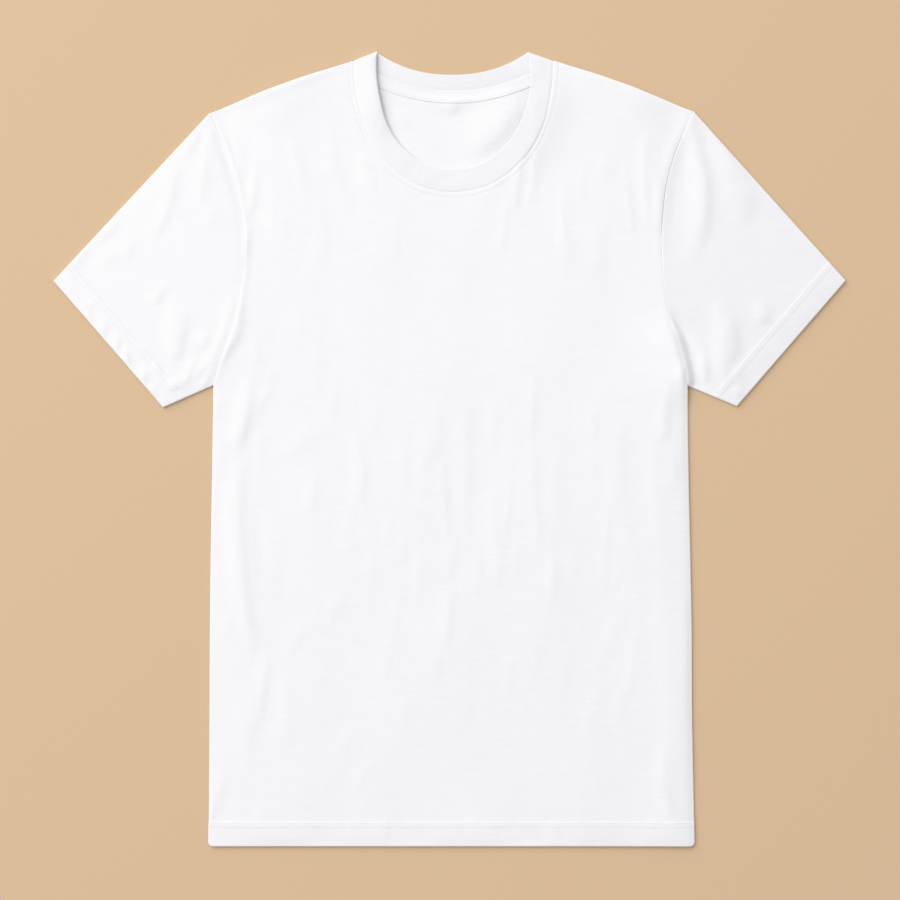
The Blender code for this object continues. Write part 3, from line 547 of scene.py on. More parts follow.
def rolled_shell(name, mesh, z, wall, radius, turn, mat, layers=4):
    """A thin shell: the outer face at height z, its edge rolled down by radius through turn
    (radians), and an inner face a wall's thickness behind.  radius and turn are per loop point."""
    p = np.column_stack([np.array(mesh.p), z])
    n = vertex_normals(p, mesh.quads)
    loop = mesh.loop()
    lp, ln = p[loop], n[loop]
    t = np.roll(lp, -1, axis=0) - np.roll(lp, 1, axis=0)
    t /= np.linalg.norm(t, axis=1)[:, None]
    o = np.cross(t, ln)
    o /= np.linalg.norm(o, axis=1)[:, None]
    pts, nrm = [p], [n]
    faces = list(mesh.quads)
    count = len(p)
    m = len(loop)
    ring = list(loop)
    for k in range(1, layers + 1):
        a = (turn * k / layers)[:, None]
        pts.append(lp + radius[:, None] * (np.sin(a) * o + (np.cos(a) - 1) * ln))
        nrm.append(np.sin(a) * o + np.cos(a) * ln)
        new = list(range(count, count + m))
        count += m
        for i in range(m):
            j = (i + 1) % m
            faces.append((ring[i], new[i], new[j], ring[j]))
        ring = new
    outer = np.concatenate(pts)
    normal = np.concatenate(nrm)
    thick = np.full(len(outer), wall)
    edge = np.concatenate([np.arange(len(p), len(outer)), np.array(loop)])
    rim = np.concatenate([np.tile(radius, layers), radius])
    thick[edge] = np.minimum(wall, rim * 0.85)
    inner = outer - normal * thick[:, None]
    total = len(outer)
    faces += [tuple(reversed([i + total for i in f])) for f in list(faces)]
    for i in range(m):
        j = (i + 1) % m
        faces.append((ring[i], ring[i] + total, ring[j] + total, ring[j]))
    return to_object(name, np.concatenate([outer, inner]), faces, mat)


def slab(name, mesh, low, high, mat, round_segments=3):
    """A closed sheet between two heights, its edge a half round."""
    xy = np.array(mesh.p)
    top, bottom = np.column_stack([xy, high]), np.column_stack([xy, low])
    loop = mesh.loop()
    faces = list(mesh.quads) + [tuple(reversed([i + len(xy) for i in q])) for q in mesh.quads]
    pts = [top, bottom]
    count = 2 * len(xy)
    lt, lb = top[loop], bottom[loop]
    t = np.roll(lt, -1, axis=0) - np.roll(lt, 1, axis=0)
    t[:, 2] = 0
    t /= np.linalg.norm(t, axis=1)[:, None]
    o = np.column_stack([t[:, 1], -t[:, 0], np.zeros(len(t))])
    mid, half = (lt + lb) / 2, (lt[:, 2] - lb[:, 2]) / 2
    ring = list(loop)
    m = len(loop)
    for k in range(1, round_segments + 1):
        a = math.pi * k / (round_segments + 1)
        pts.append(mid + half[:, None] * (math.sin(a) * o + math.cos(a) * np.array([0, 0, 1.0])))
        new = list(range(count, count + m))
        count += m
        for i in range(m):
            j = (i + 1) % m
            faces.append((ring[i], new[i], new[j], ring[j]))
        ring = new
    last = [i + len(xy) for i in loop]
    for i in range(m):
        j = (i + 1) % m
        faces.append((ring[i], last[i], last[j], ring[j]))
    return to_object(name, np.concatenate(pts), faces, mat)


# ------------------------------------------------------------------ how the cloth lies
def path_of(points):
    """A crease's path, rounded through its points."""
    p = np.asarray(points, float)
    if len(p) == 2:
        return resample(p, 6.0)
    d = np.concatenate([[0], np.cumsum(np.linalg.norm(np.diff(p, axis=0), axis=1))])
    at = np.linspace(0, d[-1], max(int(d[-1] / 6.0), 3) + 1)
    return stack(hermite(d, p[:, 0], at), hermite(d, p[:, 1], at))


def creases(q, table, edge):
    """Sum of the table's troughs and ridges at each point; each path runs down the garment."""
    out = np.zeros(len(q))
    for c in table:
        path = path_of(c.path)
        reach = 3 * max(c.left, c.right)
        lo, hi = path.min(0) - reach, path.max(0) + reach
        sel = np.nonzero((q[:, 0] > lo[0]) & (q[:, 0] < hi[0]) & (q[:, 1] > lo[1]) & (q[:, 1] < hi[1]))[0]
        if not len(sel):
            continue
        s = q[sel]
        best = np.full(len(s), 1e9)
        where = np.zeros(len(s))
        lean = np.zeros(len(s))
        d = np.concatenate([[0], np.cumsum(np.linalg.norm(np.diff(path, axis=0), axis=1))])
        for k in range(len(path) - 1):
            seg = path[k + 1] - path[k]
            ln = max(float(seg @ seg), 1e-9)
            t = np.clip(((s - path[k]) @ seg) / ln, 0, 1)
            off = s - path[k] - t[:, None] * seg
            dist = np.sqrt((off ** 2).sum(1))
            take = dist < best
            best = np.where(take, dist, best)
            where = np.where(take, (d[k] + t * math.sqrt(ln)) / d[-1], where)
            cross = (seg[0] * off[:, 1] - seg[1] * off[:, 0]) / math.sqrt(ln) / np.maximum(dist, 1e-6)
            lean = np.where(take, cross, lean)
        # highest near the middle, running out at both ends
        swell = 0.15 + 0.85 * np.sin(np.pi * np.clip(where, 0, 1)) ** 0.7
        width = (c.left + (c.right - c.left) * (0.5 + 0.5 * lean)) * (0.85 + 0.2 * np.sin(np.pi * where))
        out[sel] += c.high * swell * np.exp(-(best / width) ** 2) * smooth(edge[sel] / c.fade)
    return out


def wrinkle_noise(q, sx, sy, seed, turn=0.0):
    """Gentle uneven relief; sx and sy are its lengths in mm across and along."""
    c, s = math.cos(turn), math.sin(turn)
    x, y = q[:, 0] * c + q[:, 1] * s, -q[:, 0] * s + q[:, 1] * c
    return np.fromiter((noise.noise(Vector((a, b, seed))) for a, b in zip(x / sx, y / sy)), float, len(q))


def hem_band(deep, run, seed):
    """Doubled cloth, stitch grooves and small puckers of a turned-up hem; deep is the distance
    from the hem's edge, run the distance along it."""
    z = 0.30 * smooth((HEM_DEEP + 1.3 - deep) / 2.6) + 0.14 * smooth((HEM_DEEP + 6.0 - deep) / 8.0)
    for row in (HEM_LOW_ROW, HEM_HIGH_ROW):
        z = z - 0.08 * np.exp(-((deep - row) / 0.7) ** 2)
    z = z + 0.07 * np.exp(-((deep - (HEM_LOW_ROW + HEM_HIGH_ROW) / 2) / 1.3) ** 2)
    z = z + 0.06 * np.exp(-((deep - HEM_HIGH_ROW) / 0.45) ** 2)
    puck = np.fromiter((noise.noise(Vector((r / 6.5, d / 30.0, seed))) for r, d in zip(run, deep)), float, len(run))
    return z + 0.22 * puck * np.exp(-((deep - 20.0) / 9.0) ** 2)


NECK_TURN = [0.00, 0.12, 0.25, 0.36, 0.50, 0.64, 0.75, 0.88, 1.00]
SEAM_MID = [3.7, 3.4, 3.1, 2.7, 2.3, 2.8, 4.3, 5.3, 4.5]        # heights of the rib's middle
FREE_MID = [6.6, 7.1, 3.8, 3.0, 2.6, 3.0, 4.4, 5.4, 5.2]


ARM_RUN = [0, 20, 50, 90, 130, 160, 190, 220, 265]                # along an armhole, from the shoulder
BODY_RIDGE = {"left": [0.30, 0.75, 0.90, 0.70, 0.55, 0.45, 0.45, 0.40, 0.30],
              "right": [0.15, 0.40, 0.50, 0.50, 0.40, 0.15, 0.10, 0.30, 0.50]}
BODY_RIDGE_AT = {"left": 2.6, "right": 4.0}
BODY_RIDGE_WIDE = {"left": 3.0, "right": 4.4}
SLEEVE_DIP = {"left": [0.20, 1.10, 1.80, 1.10, 0.60, 0.35, 0.05, 0.00, 0.00],
              "right": [0.20, 0.80, 1.30, 1.20, 0.70, 0.20, 0.20, 0.50, 0.60]}
SLEEVE_DIP_AT = {"left": 0.8, "right": 11.0}
SLEEVE_DIP_WIDE = {"left": (5.0, 5.0), "right": (8.0, 22.0)}      # towards the seam, away from it


def neck_turn(q):
    u = (q[:, 0] - SEAM_CENTRE) / SEAM_HALF
    v = np.maximum((SEAM_TOP - q[:, 1]) / SEAM_DROP, 0.0)
    return np.clip(np.arctan2(v, -u) / np.pi, 0.0, 1.0)


def shoulder_full(run):
    """How much fuller the fold along a shoulder stands; run is the distance from the arm's tip."""
    return (3.6 - 1.7 * smooth((run - 95.0) / 50.0)) * smooth((run - 4.0) / 62.0)


def upper(q, part):
    """Height of the outer face of the upper layer at each point of the plan."""
    edge, _, _ = SIL.near(q)
    edge = np.minimum(edge, np.abs(q[:, 1] - HEM_Y))
    z = EDGE_Z + 0.8 * (1 - np.exp(-edge / 12.0))
    fade = smooth(edge / 9.0)
    if part == "front":
        z += creases(q, BODY_CREASES, edge)
        z += fade * 0.14 * wrinkle_noise(q, 26, 95, 3.1)
        z += fade * 0.085 * wrinkle_noise(q, 8, 42, 7.7)
        z += fade * 0.035 * wrinkle_noise(q, 4.2, 34, 17.3)
        z += fade * 1.0 * wrinkle_noise(q, 62, 130, 11.9)
        deep = q[:, 1] - HEM_Y
        z += hem_band(deep, q[:, 0], 21.3)
        # the folds along the shoulders stand full and fall away down the chest
        full = np.zeros(len(q))
        for s in SIGN:
            d, _, run = TOP[s].near(q)
            full += shoulder_full(run) * np.exp(-(d / 27.0) ** 1.25)
        z += full
        # the right side's fold stands fuller than the left's
        dx = np.maximum(hermite(SIDE_Y, SIDE_X["right"], q[:, 1]) - q[:, 0], 0.0)
        z += 0.95 * (1 - np.exp(-(dx / 4.4) ** 2)) * np.exp(-(dx / 60.0) ** 2) * smooth((90.0 - q[:, 1]) / 30.0)
        for s in SIGN:
            d, _, run = ARM[s].near(q)
            z += hermite(ARM_RUN, BODY_RIDGE[s], run) * np.exp(-((d - BODY_RIDGE_AT[s]) / BODY_RIDGE_WIDE[s]) ** 2)
        d, _, _ = ARM["right"].near(q)
        lift = smooth((140.0 - q[:, 1]) / 45.0) * smooth((q[:, 1] - 25.0) / 50.0)
        z += lift * (2.6 * np.exp(-(d / 24.0) ** 2) + 1.5 * (1 - np.exp(-(d / 4.0) ** 2)) * np.exp(-(d / 26.0) ** 2))
        d, _, _ = NECK.near(q)
        turn = neck_turn(q)
        want = hermite(NECK_TURN, SEAM_MID, turn) + 0.62
        reach = 30.0 - 13.0 * smooth((turn - 0.6) / 0.15)
        z += (want - (EDGE_Z + 0.8 * (1 - np.exp(-edge / 12.0)) + full)) * np.exp(-(d / reach) ** 2)
        z += 0.08 * np.exp(-((d - 2.4) / 1.5) ** 2) - 0.13 * np.exp(-((d - 4.8) / 0.75) ** 2)
    else:
        z += creases(q, SLEEVE_CREASES[part], edge)
        turn = 0.86 if part == "left" else -0.86
        z += fade * 0.12 * wrinkle_noise(q, 30, 60, 5.5 if part == "left" else 8.5, turn)
        z += fade * 0.06 * wrinkle_noise(q, 9, 26, 2.5, turn)
        d, _, run = ARM[part].near(q)
        side = np.where(d < SLEEVE_DIP_AT[part], *SLEEVE_DIP_WIDE[part])
        z -= hermite(ARM_RUN, SLEEVE_DIP[part], run) * np.exp(-((d - SLEEVE_DIP_AT[part]) / side) ** 2) * smooth(edge / 5.0)
        if part == "left":
            z += 0.75 * smooth((run - 165.0) / 60.0) * np.exp(-((d - 7.0) / 5.5) ** 2) * smooth(edge / 6.0)
        else:
            z -= 1.90 * np.exp(-((d - 3.0) / 10.0) ** 2) * smooth((138.0 - q[:, 1]) / 30.0) * smooth(edge / 6.0)
        z = np.maximum(z, 1.45) + 0.15 * np.exp(-np.abs(z - 1.45) / 0.3)
        if part == "right":
            # from the underarm seam the sleeve falls steeply into a deep furrow
            full = smooth((138.0 - q[:, 1]) / 34.0) * smooth((q[:, 1] - 56.0) / 10.0)
            z += 5.1 * full * (0.5 + 0.5 * np.cos(np.pi * np.clip(d / (4.5 + 4.2 * full), 0.0, 1.0))) - 0.2 * full
    return z


def back_rise(q):
    """The back panel's underside lifts off the surface by this much, between flat stretches."""
    edge, _, _ = SIL.near(q)
    edge = np.minimum(edge, np.abs(q[:, 1] - HEM_Y))
    z = 0.55 * wrinkle_noise(q, 34, 120, 31.7) + 0.16 * wrinkle_noise(q, 12, 40, 44.1) - 0.12
    return np.clip(z, 0.0, 0.6) * smooth(edge / 25.0)


def back_top(q):
    """Height of the back panel's upper face, which shows inside the neck."""
    low = back_rise(q)
    d, _, _ = NECK_BACK.near(q)
    inside = smooth((q[:, 1] - 235.0) / 30.0) * smooth((105.0 - np.abs(q[:, 0] - 3.5)) / 20.0)
    soft = 0.4 * wrinkle_noise(q, 40, 45, 51.3) + 0.35 + creases(q, INSIDE_CREASES, np.full(len(q), 99.0))
    soft = soft + (0.4 + 1.0 * np.exp(-(q[:, 0] / 26.0) ** 2)) * np.exp(-((d - 10.5) / 7.0) ** 2)
    return low + 0.66 + inside * np.maximum(soft, 0.0)


# ------------------------------------------------------------------ finishes
def nodes_of(name):
    mat = bpy.data.materials.new(name)
    mat.use_nodes = True
    tree = mat.node_tree
    tree.nodes.clear()
    out = tree.nodes.new("ShaderNodeOutputMaterial")
    bsdf = tree.nodes.new("ShaderNodeBsdfPrincipled")
    tree.links.new(bsdf.outputs["BSDF"], out.inputs["Surface"])
    return mat, tree, bsdf


def node(tree, kind, inputs=None, **props):
    n = tree.nodes.new(kind)
    for k, v in props.items():
        setattr(n, k, v)
    for k, v in (inputs or {}).items():
        if isinstance(v, bpy.types.NodeSocket):
            tree.links.new(v, n.inputs[k])
        else:
            n.inputs[k].default_value = v
    return n


def ramp(tree, fac, stops):
    n = tree.nodes.new("ShaderNodeValToRGB")
    tree.links.new(fac, n.inputs["Fac"])
    e = n.color_ramp.elements
    for i, (pos, col) in enumerate(stops):
        el = e[i] if i < 2 else e.new(pos)
        el.position = pos
        el.color = (*col, 1.0)
    return n.outputs["Color"]


def knit(name, base, turn=0.0, streak=1.0, wale=0.00072, course=0.00058, depth=0.00006, rough=0.86,
         sheen=0.25, ribbed=False):
    """Fine weft knit: rows of small loops, uneven yarn that shows as faint streaks along the rows."""
    mat, tree, bsdf = nodes_of(name)
    coord = node(tree, "ShaderNodeTexCoord").outputs["Object"]
    m = node(tree, "ShaderNodeMapping", {"Vector": coord, "Rotation": (0.0, 0.0, turn)}).outputs["Vector"]
    # the rows waver a little, as the cloth was never laid dead straight
    sway = node(tree, "ShaderNodeMapping", {"Vector": m, "Scale": (5.0, 7.0, 5.0)}).outputs["Vector"]
    sway = node(tree, "ShaderNodeTexNoise", {"Vector": sway, "Scale": 1.0, "Detail": 1.0, "Roughness": 0.4})
    shift = node(tree, "ShaderNodeMath", {0: sway.outputs["Fac"], 1: 0.5}, operation="SUBTRACT")
    shift = node(tree, "ShaderNodeMath", {0: shift.outputs[0], 1: 0.018}, operation="MULTIPLY")
    shift = node(tree, "ShaderNodeCombineXYZ", {"Y": shift.outputs[0]})
    m = node(tree, "ShaderNodeVectorMath", {0: m, 1: shift.outputs[0]}, operation="ADD").outputs[0]
    # uneven yarn
    slub = node(tree, "ShaderNodeMapping", {"Vector": m, "Scale": (62.0, 900.0, 40.0)}).outputs["Vector"]
    slub = node(tree, "ShaderNodeTexNoise", {"Vector": slub, "Scale": 1.0, "Detail": 2.0, "Roughness": 0.6})
    wide = node(tree, "ShaderNodeMapping", {"Vector": m, "Scale": (20.0, 330.0, 20.0)}).outputs["Vector"]
    wide = node(tree, "ShaderNodeTexNoise", {"Vector": wide, "Scale": 1.0, "Detail": 3.0, "Roughness": 0.6})
    cloud = node(tree, "ShaderNodeTexNoise", {"Vector": m, "Scale": 60.0, "Detail": 3.0, "Roughness": 0.6})
    fleck = node(tree, "ShaderNodeTexNoise", {"Vector": m, "Scale": 700.0, "Detail": 2.0, "Roughness": 0.6})
    both = node(tree, "ShaderNodeMath", {0: wide.outputs["Fac"], 1: 0.55, 2: slub.outputs["Fac"]},
                operation="MULTIPLY_ADD")
    both = node(tree, "ShaderNodeMath", {0: cloud.outputs["Fac"], 1: 0.45, 2: both.outputs[0]},
                operation="MULTIPLY_ADD")
    both = node(tree, "ShaderNodeMath", {0: fleck.outputs["Fac"], 1: 0.7, 2: both.outputs[0]},
                operation="MULTIPLY_ADD")
    both = node(tree, "ShaderNodeMath", {0: both.outputs[0], 1: 2.7}, operation="DIVIDE")
    dark = tuple(c * (1 - 0.020 * streak) for c in base)
    lite = tuple(min(c * (1 + 0.010 * streak), 0.98) for c in base)
    peak = tuple(min(c * (1 + 0.045 * streak), 0.985) for c in base)
    col = ramp(tree, both.outputs[0], [(0.38, dark), (0.60, lite), (0.70, peak)])
    tree.links.new(col, bsdf.inputs["Base Color"])
    # loops of the knit: columns of Vs with rows between
    sep = node(tree, "ShaderNodeSeparateXYZ", {"Vector": m})
    x = node(tree, "ShaderNodeMath", {0: sep.outputs["X"], 1: 2 * math.pi / wale}, operation="MULTIPLY")
    col_wave = node(tree, "ShaderNodeMath", {0: x.outputs[0]}, operation="SINE")
    bend = node(tree, "ShaderNodeMath", {0: col_wave.outputs[0]}, operation="ABSOLUTE")
    y = node(tree, "ShaderNodeMath", {0: sep.outputs["Y"], 1: 2 * math.pi / course}, operation="MULTIPLY")
    y = node(tree, "ShaderNodeMath", {0: bend.outputs[0], 1: 1.9, 2: y.outputs[0]}, operation="MULTIPLY_ADD")
    row_wave = node(tree, "ShaderNodeMath", {0: y.outputs[0]}, operation="SINE")
    loops = node(tree, "ShaderNodeMath", {0: row_wave.outputs[0], 1: 0.45, 2: bend.outputs[0]},
                 operation="MULTIPLY_ADD")
    grain = node(tree, "ShaderNodeMath", {0: both.outputs[0], 1: 3.0, 2: loops.outputs[0]}, operation="MULTIPLY_ADD")
    grain = node(tree, "ShaderNodeMath", {0: fleck.outputs["Fac"], 1: 0.8, 2: grain.outputs[0]},
                 operation="MULTIPLY_ADD")
    bump = node(tree, "ShaderNodeBump", {"Height": grain.outputs[0], "Strength": 0.55, "Distance": depth})
    tree.links.new(bump.outputs["Normal"], bsdf.inputs["Normal"])
    r = node(tree, "ShaderNodeMapRange", {"Value": both.outputs[0], "From Min": 0.3, "From Max": 0.7,
                                          "To Min": rough - 0.05, "To Max": rough + 0.06})
    tree.links.new(r.outputs["Result"], bsdf.inputs["Roughness"])
    bsdf.inputs["Specular IOR Level"].default_value = 0.22
    bsdf.inputs["Sheen Weight"].default_value = sheen
    bsdf.inputs["Sheen Roughness"].default_value = 0.55
    bsdf.inputs["Sheen Tint"].default_value = (1.0, 1.0, 1.0, 1.0)
    return mat


def thread(name, base):
    """Sewing thread: two plies, seen as fine slanting marks."""
    mat, tree, bsdf = nodes_of(name)
    coord = node(tree, "ShaderNodeTexCoord").outputs["Object"]
    m = node(tree, "ShaderNodeMapping", {"Vector": coord, "Rotation": (0.0, 0.0, 0.7)}).outputs["Vector"]
    ply = node(tree, "ShaderNodeTexWave", {"Vector": m, "Scale": 700.0, "Distortion": 2.0, "Detail": 1.0},
               wave_type="BANDS", bands_direction="X")
    fuzz = node(tree, "ShaderNodeTexNoise", {"Vector": coord, "Scale": 1500.0, "Detail": 2.0})
    h = node(tree, "ShaderNodeMath", {0: fuzz.outputs["Fac"], 1: 0.6, 2: ply.outputs["Fac"]}, operation="MULTIPLY_ADD")
    col = ramp(tree, h.outputs[0], [(0.2, tuple(c * 0.93 for c in base)), (0.9, base)])
    tree.links.new(col, bsdf.inputs["Base Color"])
    bump = node(tree, "ShaderNodeBump", {"Height": h.outputs[0], "Strength": 0.5, "Distance": 0.00004})
    tree.links.new(bump.outputs["Normal"], bsdf.inputs["Normal"])
    r = node(tree, "ShaderNodeMapRange", {"Value": fuzz.outputs["Fac"], "To Min": 0.5, "To Max": 0.7})
    tree.links.new(r.outputs["Result"], bsdf.inputs["Roughness"])
    bsdf.inputs["Sheen Weight"].default_value = 0.1
    return mat


WHITE = (0.876, 0.874, 0.905)
JERSEY = knit("jersey_white", WHITE, streak=1.3)
JERSEY_L = knit("jersey_white_left_sleeve", WHITE, turn=0.03, streak=1.2)
# painted shade: the right sleeve's jersey is a few levels greyer than the body's, standing in for shade the light
# doesn't give it; the cloth is the same white
JERSEY_R_PAINTED_SHADE = knit("jersey_white_right_sleeve_painted_shade", (0.854, 0.852, 0.886), turn=-0.05, streak=1.2)
RIB_KNIT = knit("rib_white", WHITE, streak=1.1, wale=0.0009, course=0.0007, depth=0.00012, rough=0.88)
TAPE_WEAVE = knit("tape_white", WHITE, streak=0.7, wale=0.0006, course=0.0006, depth=0.00005, rough=0.82)
THREAD = thread("thread_white", (0.93, 0.93, 0.945))
# painted shade: this dark grey on the lozenges at the needle holes stands in for the shade inside the holes
HOLE_PAINTED_SHADE = thread("needle_holes_painted_shade", (0.58, 0.58, 0.60))


# ------------------------------------------------------------------ front panel
ARM_SPLIT, NECK_SPLIT, STEP = 0.4375, 0.24, 3.2
CORNER = HEM_ROUND * (1 - math.sqrt(0.5))
HEM_ROWS = [0, 0.6, 1.3, 2.2, 3.25, 4.6, 6.4, 8.6, 11.0, 13.4, 15.4, 16.6, 17.3, 17.75, 18.1, 18.45, 18.9,
            19.6, 20.5, 21.4, 22.1, 22.55, 22.9, 23.25, 23.6, 23.95, 24.4, 25.2, 26.8]
NECK_ROWS = [0, 0.5, 1.0, 1.5, 2.0, 2.5, 3.0, 3.5, 4.1, 4.9, 6.0, 7.6]
EDGE_ROWS = [0, 0.7, 1.5, 2.4, 3.4, 4.6, 6.2]


def side_point(side, y):
    """A point of the side, rounded in at the hem corner."""
    y = np.asarray(y, float)
    up = np.clip(HEM_ROUND - (y - HEM_Y), 0, HEM_ROUND)
    back = HEM_ROUND - np.sqrt(HEM_ROUND ** 2 - up ** 2)
    return stack(hermite(SIDE_Y, SIDE_X[side], y) - SIGN[side] * back, y)


def hem_path():
    left, right = side_point("left", HEM_Y + CORNER), side_point("right", HEM_Y + CORNER)
    cl, cr = left[0] - CORNER + HEM_ROUND, right[0] + CORNER - HEM_ROUND
    return join(arc(cl, HEM_Y + HEM_ROUND, HEM_ROUND, 225, 270, 20), arc(cr, HEM_Y + HEM_ROUND, HEM_ROUND, 270, 315, 20))


def length(p):
    return float(np.linalg.norm(np.diff(p, axis=0), axis=1).sum())


def side_rows():
    """Heights of the rows along the sides, from the hem corner to the underarm."""
    top = 61.0 - HEM_Y - CORNER
    return HEM_Y + CORNER + steps(top, STEP, start=HEM_ROWS, end=(0.0,)) * top


def front_plan():
    low_rows = steps(150.0, STEP, end=NECK_ROWS)
    high_rows = steps(118.0, STEP, end=(0.0, 1.0, 2.2, 3.8))
    cols = steps(154.0, STEP, start=EDGE_ROWS, end=NECK_ROWS)
    mid = neck_front(np.linspace(1 - NECK_SPLIT, NECK_SPLIT, 300))
    mid_cols = np.linspace(0, 1, int(round(length(mid) / 2.9)) + 1)

    # columns along the hem: as above, but no closer than 1.5 mm away from the sides
    x_top = np.concatenate([-202 + 134 * cols, (-68 + 143 * mid_cols)[1:], 75 + 131 * (1 - cols[::-1])[1:]])
    w = np.maximum(np.diff(x_top), 1.5)
    k = len(EDGE_ROWS) - 1
    w[:k], w[-k:] = np.diff(EDGE_ROWS), np.diff(EDGE_ROWS)[::-1]
    hem = hem_path()
    w[k:-k] *= (length(hem) - 2 * EDGE_ROWS[-1]) / w[k:-k].sum()
    at = np.concatenate([[0], np.cumsum(w)])
    at /= at[-1]
    rows = side_rows()
    up, down = np.linspace(1, ARM_SPLIT, 200), np.linspace(ARM_SPLIT, 0, 160)
    p, edge = build_loop([
        ("hem", hem, ROLL_HEM, 175, at),
        ("side_right", side_point("right", rows), ROLL_SIDE, 150, None),
        ("arm_low_right", armhole("right", up), ROLL_ARM, 95, low_rows),
        ("arm_high_right", armhole("right", down), ROLL_ARM, 95, high_rows),
        ("top_right", shoulder("right", T01), ROLL_SHOULDER, 150, cols),
        ("neck_high_right", neck_front(np.linspace(1, 1 - NECK_SPLIT, 160)), ROLL_NECK, 95, 1 - high_rows[::-1]),
        ("neck_mid", mid, ROLL_NECK, 95, mid_cols),
        ("neck_high_left", neck_front(np.linspace(NECK_SPLIT, 0, 160)), ROLL_NECK, 95, high_rows),
        ("top_left", shoulder("left", T01[::-1]), ROLL_SHOULDER, 150, 1 - cols[::-1]),
        ("arm_high_left", armhole("left", down[::-1]), ROLL_ARM, 95, 1 - high_rows[::-1]),
        ("arm_low_left", armhole("left", up[::-1]), ROLL_ARM, 95, 1 - low_rows[::-1]),
        ("side_left", side_point("left", rows)[::-1], ROLL_SIDE, 150, None)])
    # along the shoulders the roll follows the fold's height, down to the back panel
    for s in SIGN:
        for x, y in p["top_" + s]:
            k = plan_key(x, y)
            r = max((upper(np.array([[x, y]]), "front")[0] - 0.95) / 1.866, 0.7)
            if k in edge and edge[k][0] > 0.9:
                edge[k] = (float(r), edge[k][1])
    # along the armholes the body's edge rolls down far enough to meet the sleeve
    for s in SIGN:
        for part in ("arm_low_", "arm_high_"):
            q = p[part + s]
            out = outward(q) * (ROLL_ARM + 0.5)
            drop = upper(q, "front") - upper(q + out, s)
            drop = np.convolve(np.pad(drop, 3, mode="edge"), np.ones(7) / 7, mode="valid")
            turn = np.radians(95 + 40 * smooth((drop - 0.45) / 0.9))
            for k, (x, y) in enumerate(q):
                e = plan_key(x, y)
                if e in edge and edge[e][0] < 0.5:
                    edge[e] = (float(np.clip((drop[k] + 0.05) / (1 - math.cos(turn[k])), ROLL_ARM, 1.6)), float(turn[k]))
    left = join(p["side_left"][::-1], p["arm_low_left"][::-1])
    right = join(p["side_right"], p["arm_low_right"])
    inner = {"left": mix(p["arm_low_left"][0], p["neck_mid"][-1], cols),
             "right": mix(p["arm_low_right"][-1], p["neck_mid"][0], cols)}
    top = join(inner["left"], p["neck_mid"][::-1], inner["right"][::-1])
    d = np.concatenate([[0], np.cumsum(np.linalg.norm(np.diff(left, axis=0), axis=1))])
    v = d / d[-1]
    mesh = Mesh()
    mesh.add(coons(p["hem"], top, left, right, at, v ** 3))
    mesh.add(coons(inner["left"], p["top_left"][::-1], p["arm_high_left"][::-1], p["neck_high_left"],
                   cols, high_rows))
    mesh.add(coons(inner["right"][::-1], p["top_right"][::-1], p["neck_high_right"][::-1], p["arm_high_right"],
                   1 - cols[::-1], high_rows))
    return mesh, edge


def make_front():
    mesh, edge = front_plan()
    z = upper(np.array(mesh.p), "front")
    loop = mesh.loop()
    found = [edge.get(plan_key(*mesh.p[i])) for i in loop]
    assert all(found), "an edge point of the front has no roll"
    rt = np.array(found)
    return rolled_shell("tee_front", mesh, z, CLOTH, rt[:, 0], rt[:, 1], JERSEY)


# ------------------------------------------------------------------ back panel
def back_plan():
    rows = side_rows()
    arm_rows = steps(290.0, 4.0)
    cols = steps(147.0, 3.6)
    neck_cols = np.linspace(0, 1, 73)
    at = np.linspace(0, 1, 2 * len(cols) + len(neck_cols) - 2)
    p, _ = build_loop([
        ("hem", hem_path(), 0.55, 0, at),
        ("side_right", side_point("right", rows), 1.35, 0, None),
        ("arm_right", armhole("right", np.linspace(1, 0, 300), BACK_ARM_SHALLOW), 0.35, 0, arm_rows),
        ("top_right", shoulder("right", T01), 1.2, 0, cols),
        ("neck", neck_back(np.linspace(1, -1, 401)), 0.35, 0, neck_cols),
        ("top_left", shoulder("left", T01[::-1]), 1.2, 0, 1 - cols[::-1]),
        ("arm_left", armhole("left", np.linspace(0, 1, 300), BACK_ARM_SHALLOW), 0.35, 0, 1 - arm_rows[::-1]),
        ("side_left", side_point("left", rows)[::-1], 1.35, 0, None)])
    left = join(p["side_left"][::-1], p["arm_left"][::-1])
    right = join(p["side_right"], p["arm_right"])
    top = join(p["top_left"][::-1], p["neck"][::-1], p["top_right"][::-1])
    d = np.concatenate([[0], np.cumsum(np.linalg.norm(np.diff(left, axis=0), axis=1))])
    mesh = Mesh()
    mesh.add(coons(p["hem"], top, left, right, at, (d / d[-1]) ** 3))
    return mesh


def make_back():
    mesh = back_plan()
    q = np.array(mesh.p)
    deep = q[:, 1] - HEM_Y
    hem = 0.28 * smooth((deep - HEM_DEEP) / 1.2) * np.exp(-np.maximum(deep - HEM_DEEP, 0) / 12.0)
    for row in (HEM_LOW_ROW, HEM_HIGH_ROW):
        hem = hem + 0.16 * np.exp(-((deep - row) / 0.5) ** 2)
    low = back_rise(q) + hem
    high = np.maximum(back_top(q), low + 0.6)
    return slab("tee_back", mesh, low, high, JERSEY)


# ------------------------------------------------------------------ sleeves
CUFF_ROWS = [ROLL_HEM, 1.4, 2.2, 3.4, 5.0, 7.0, 9.4, 12.0, 14.4, 16.2, 17.2, 17.75, 18.1, 18.45, 19.0, 19.8,
             20.8, 21.8, 22.4, 22.9, 23.4, 23.9, 24.5, 25.4, 27.0]
FOLD_R = 1.2
FOLD_ARC = 8


def cuff_distance(side, q):
    a, b = np.array(CUFF_TOP[side]), np.array(CUFF_BOTTOM[side])
    d = (b - a) / np.linalg.norm(b - a)
    n = np.array([d[1], -d[0]]) * SIGN[side] * -1.0
    run = (q - a) @ d
    return np.abs((q - a) @ n), run


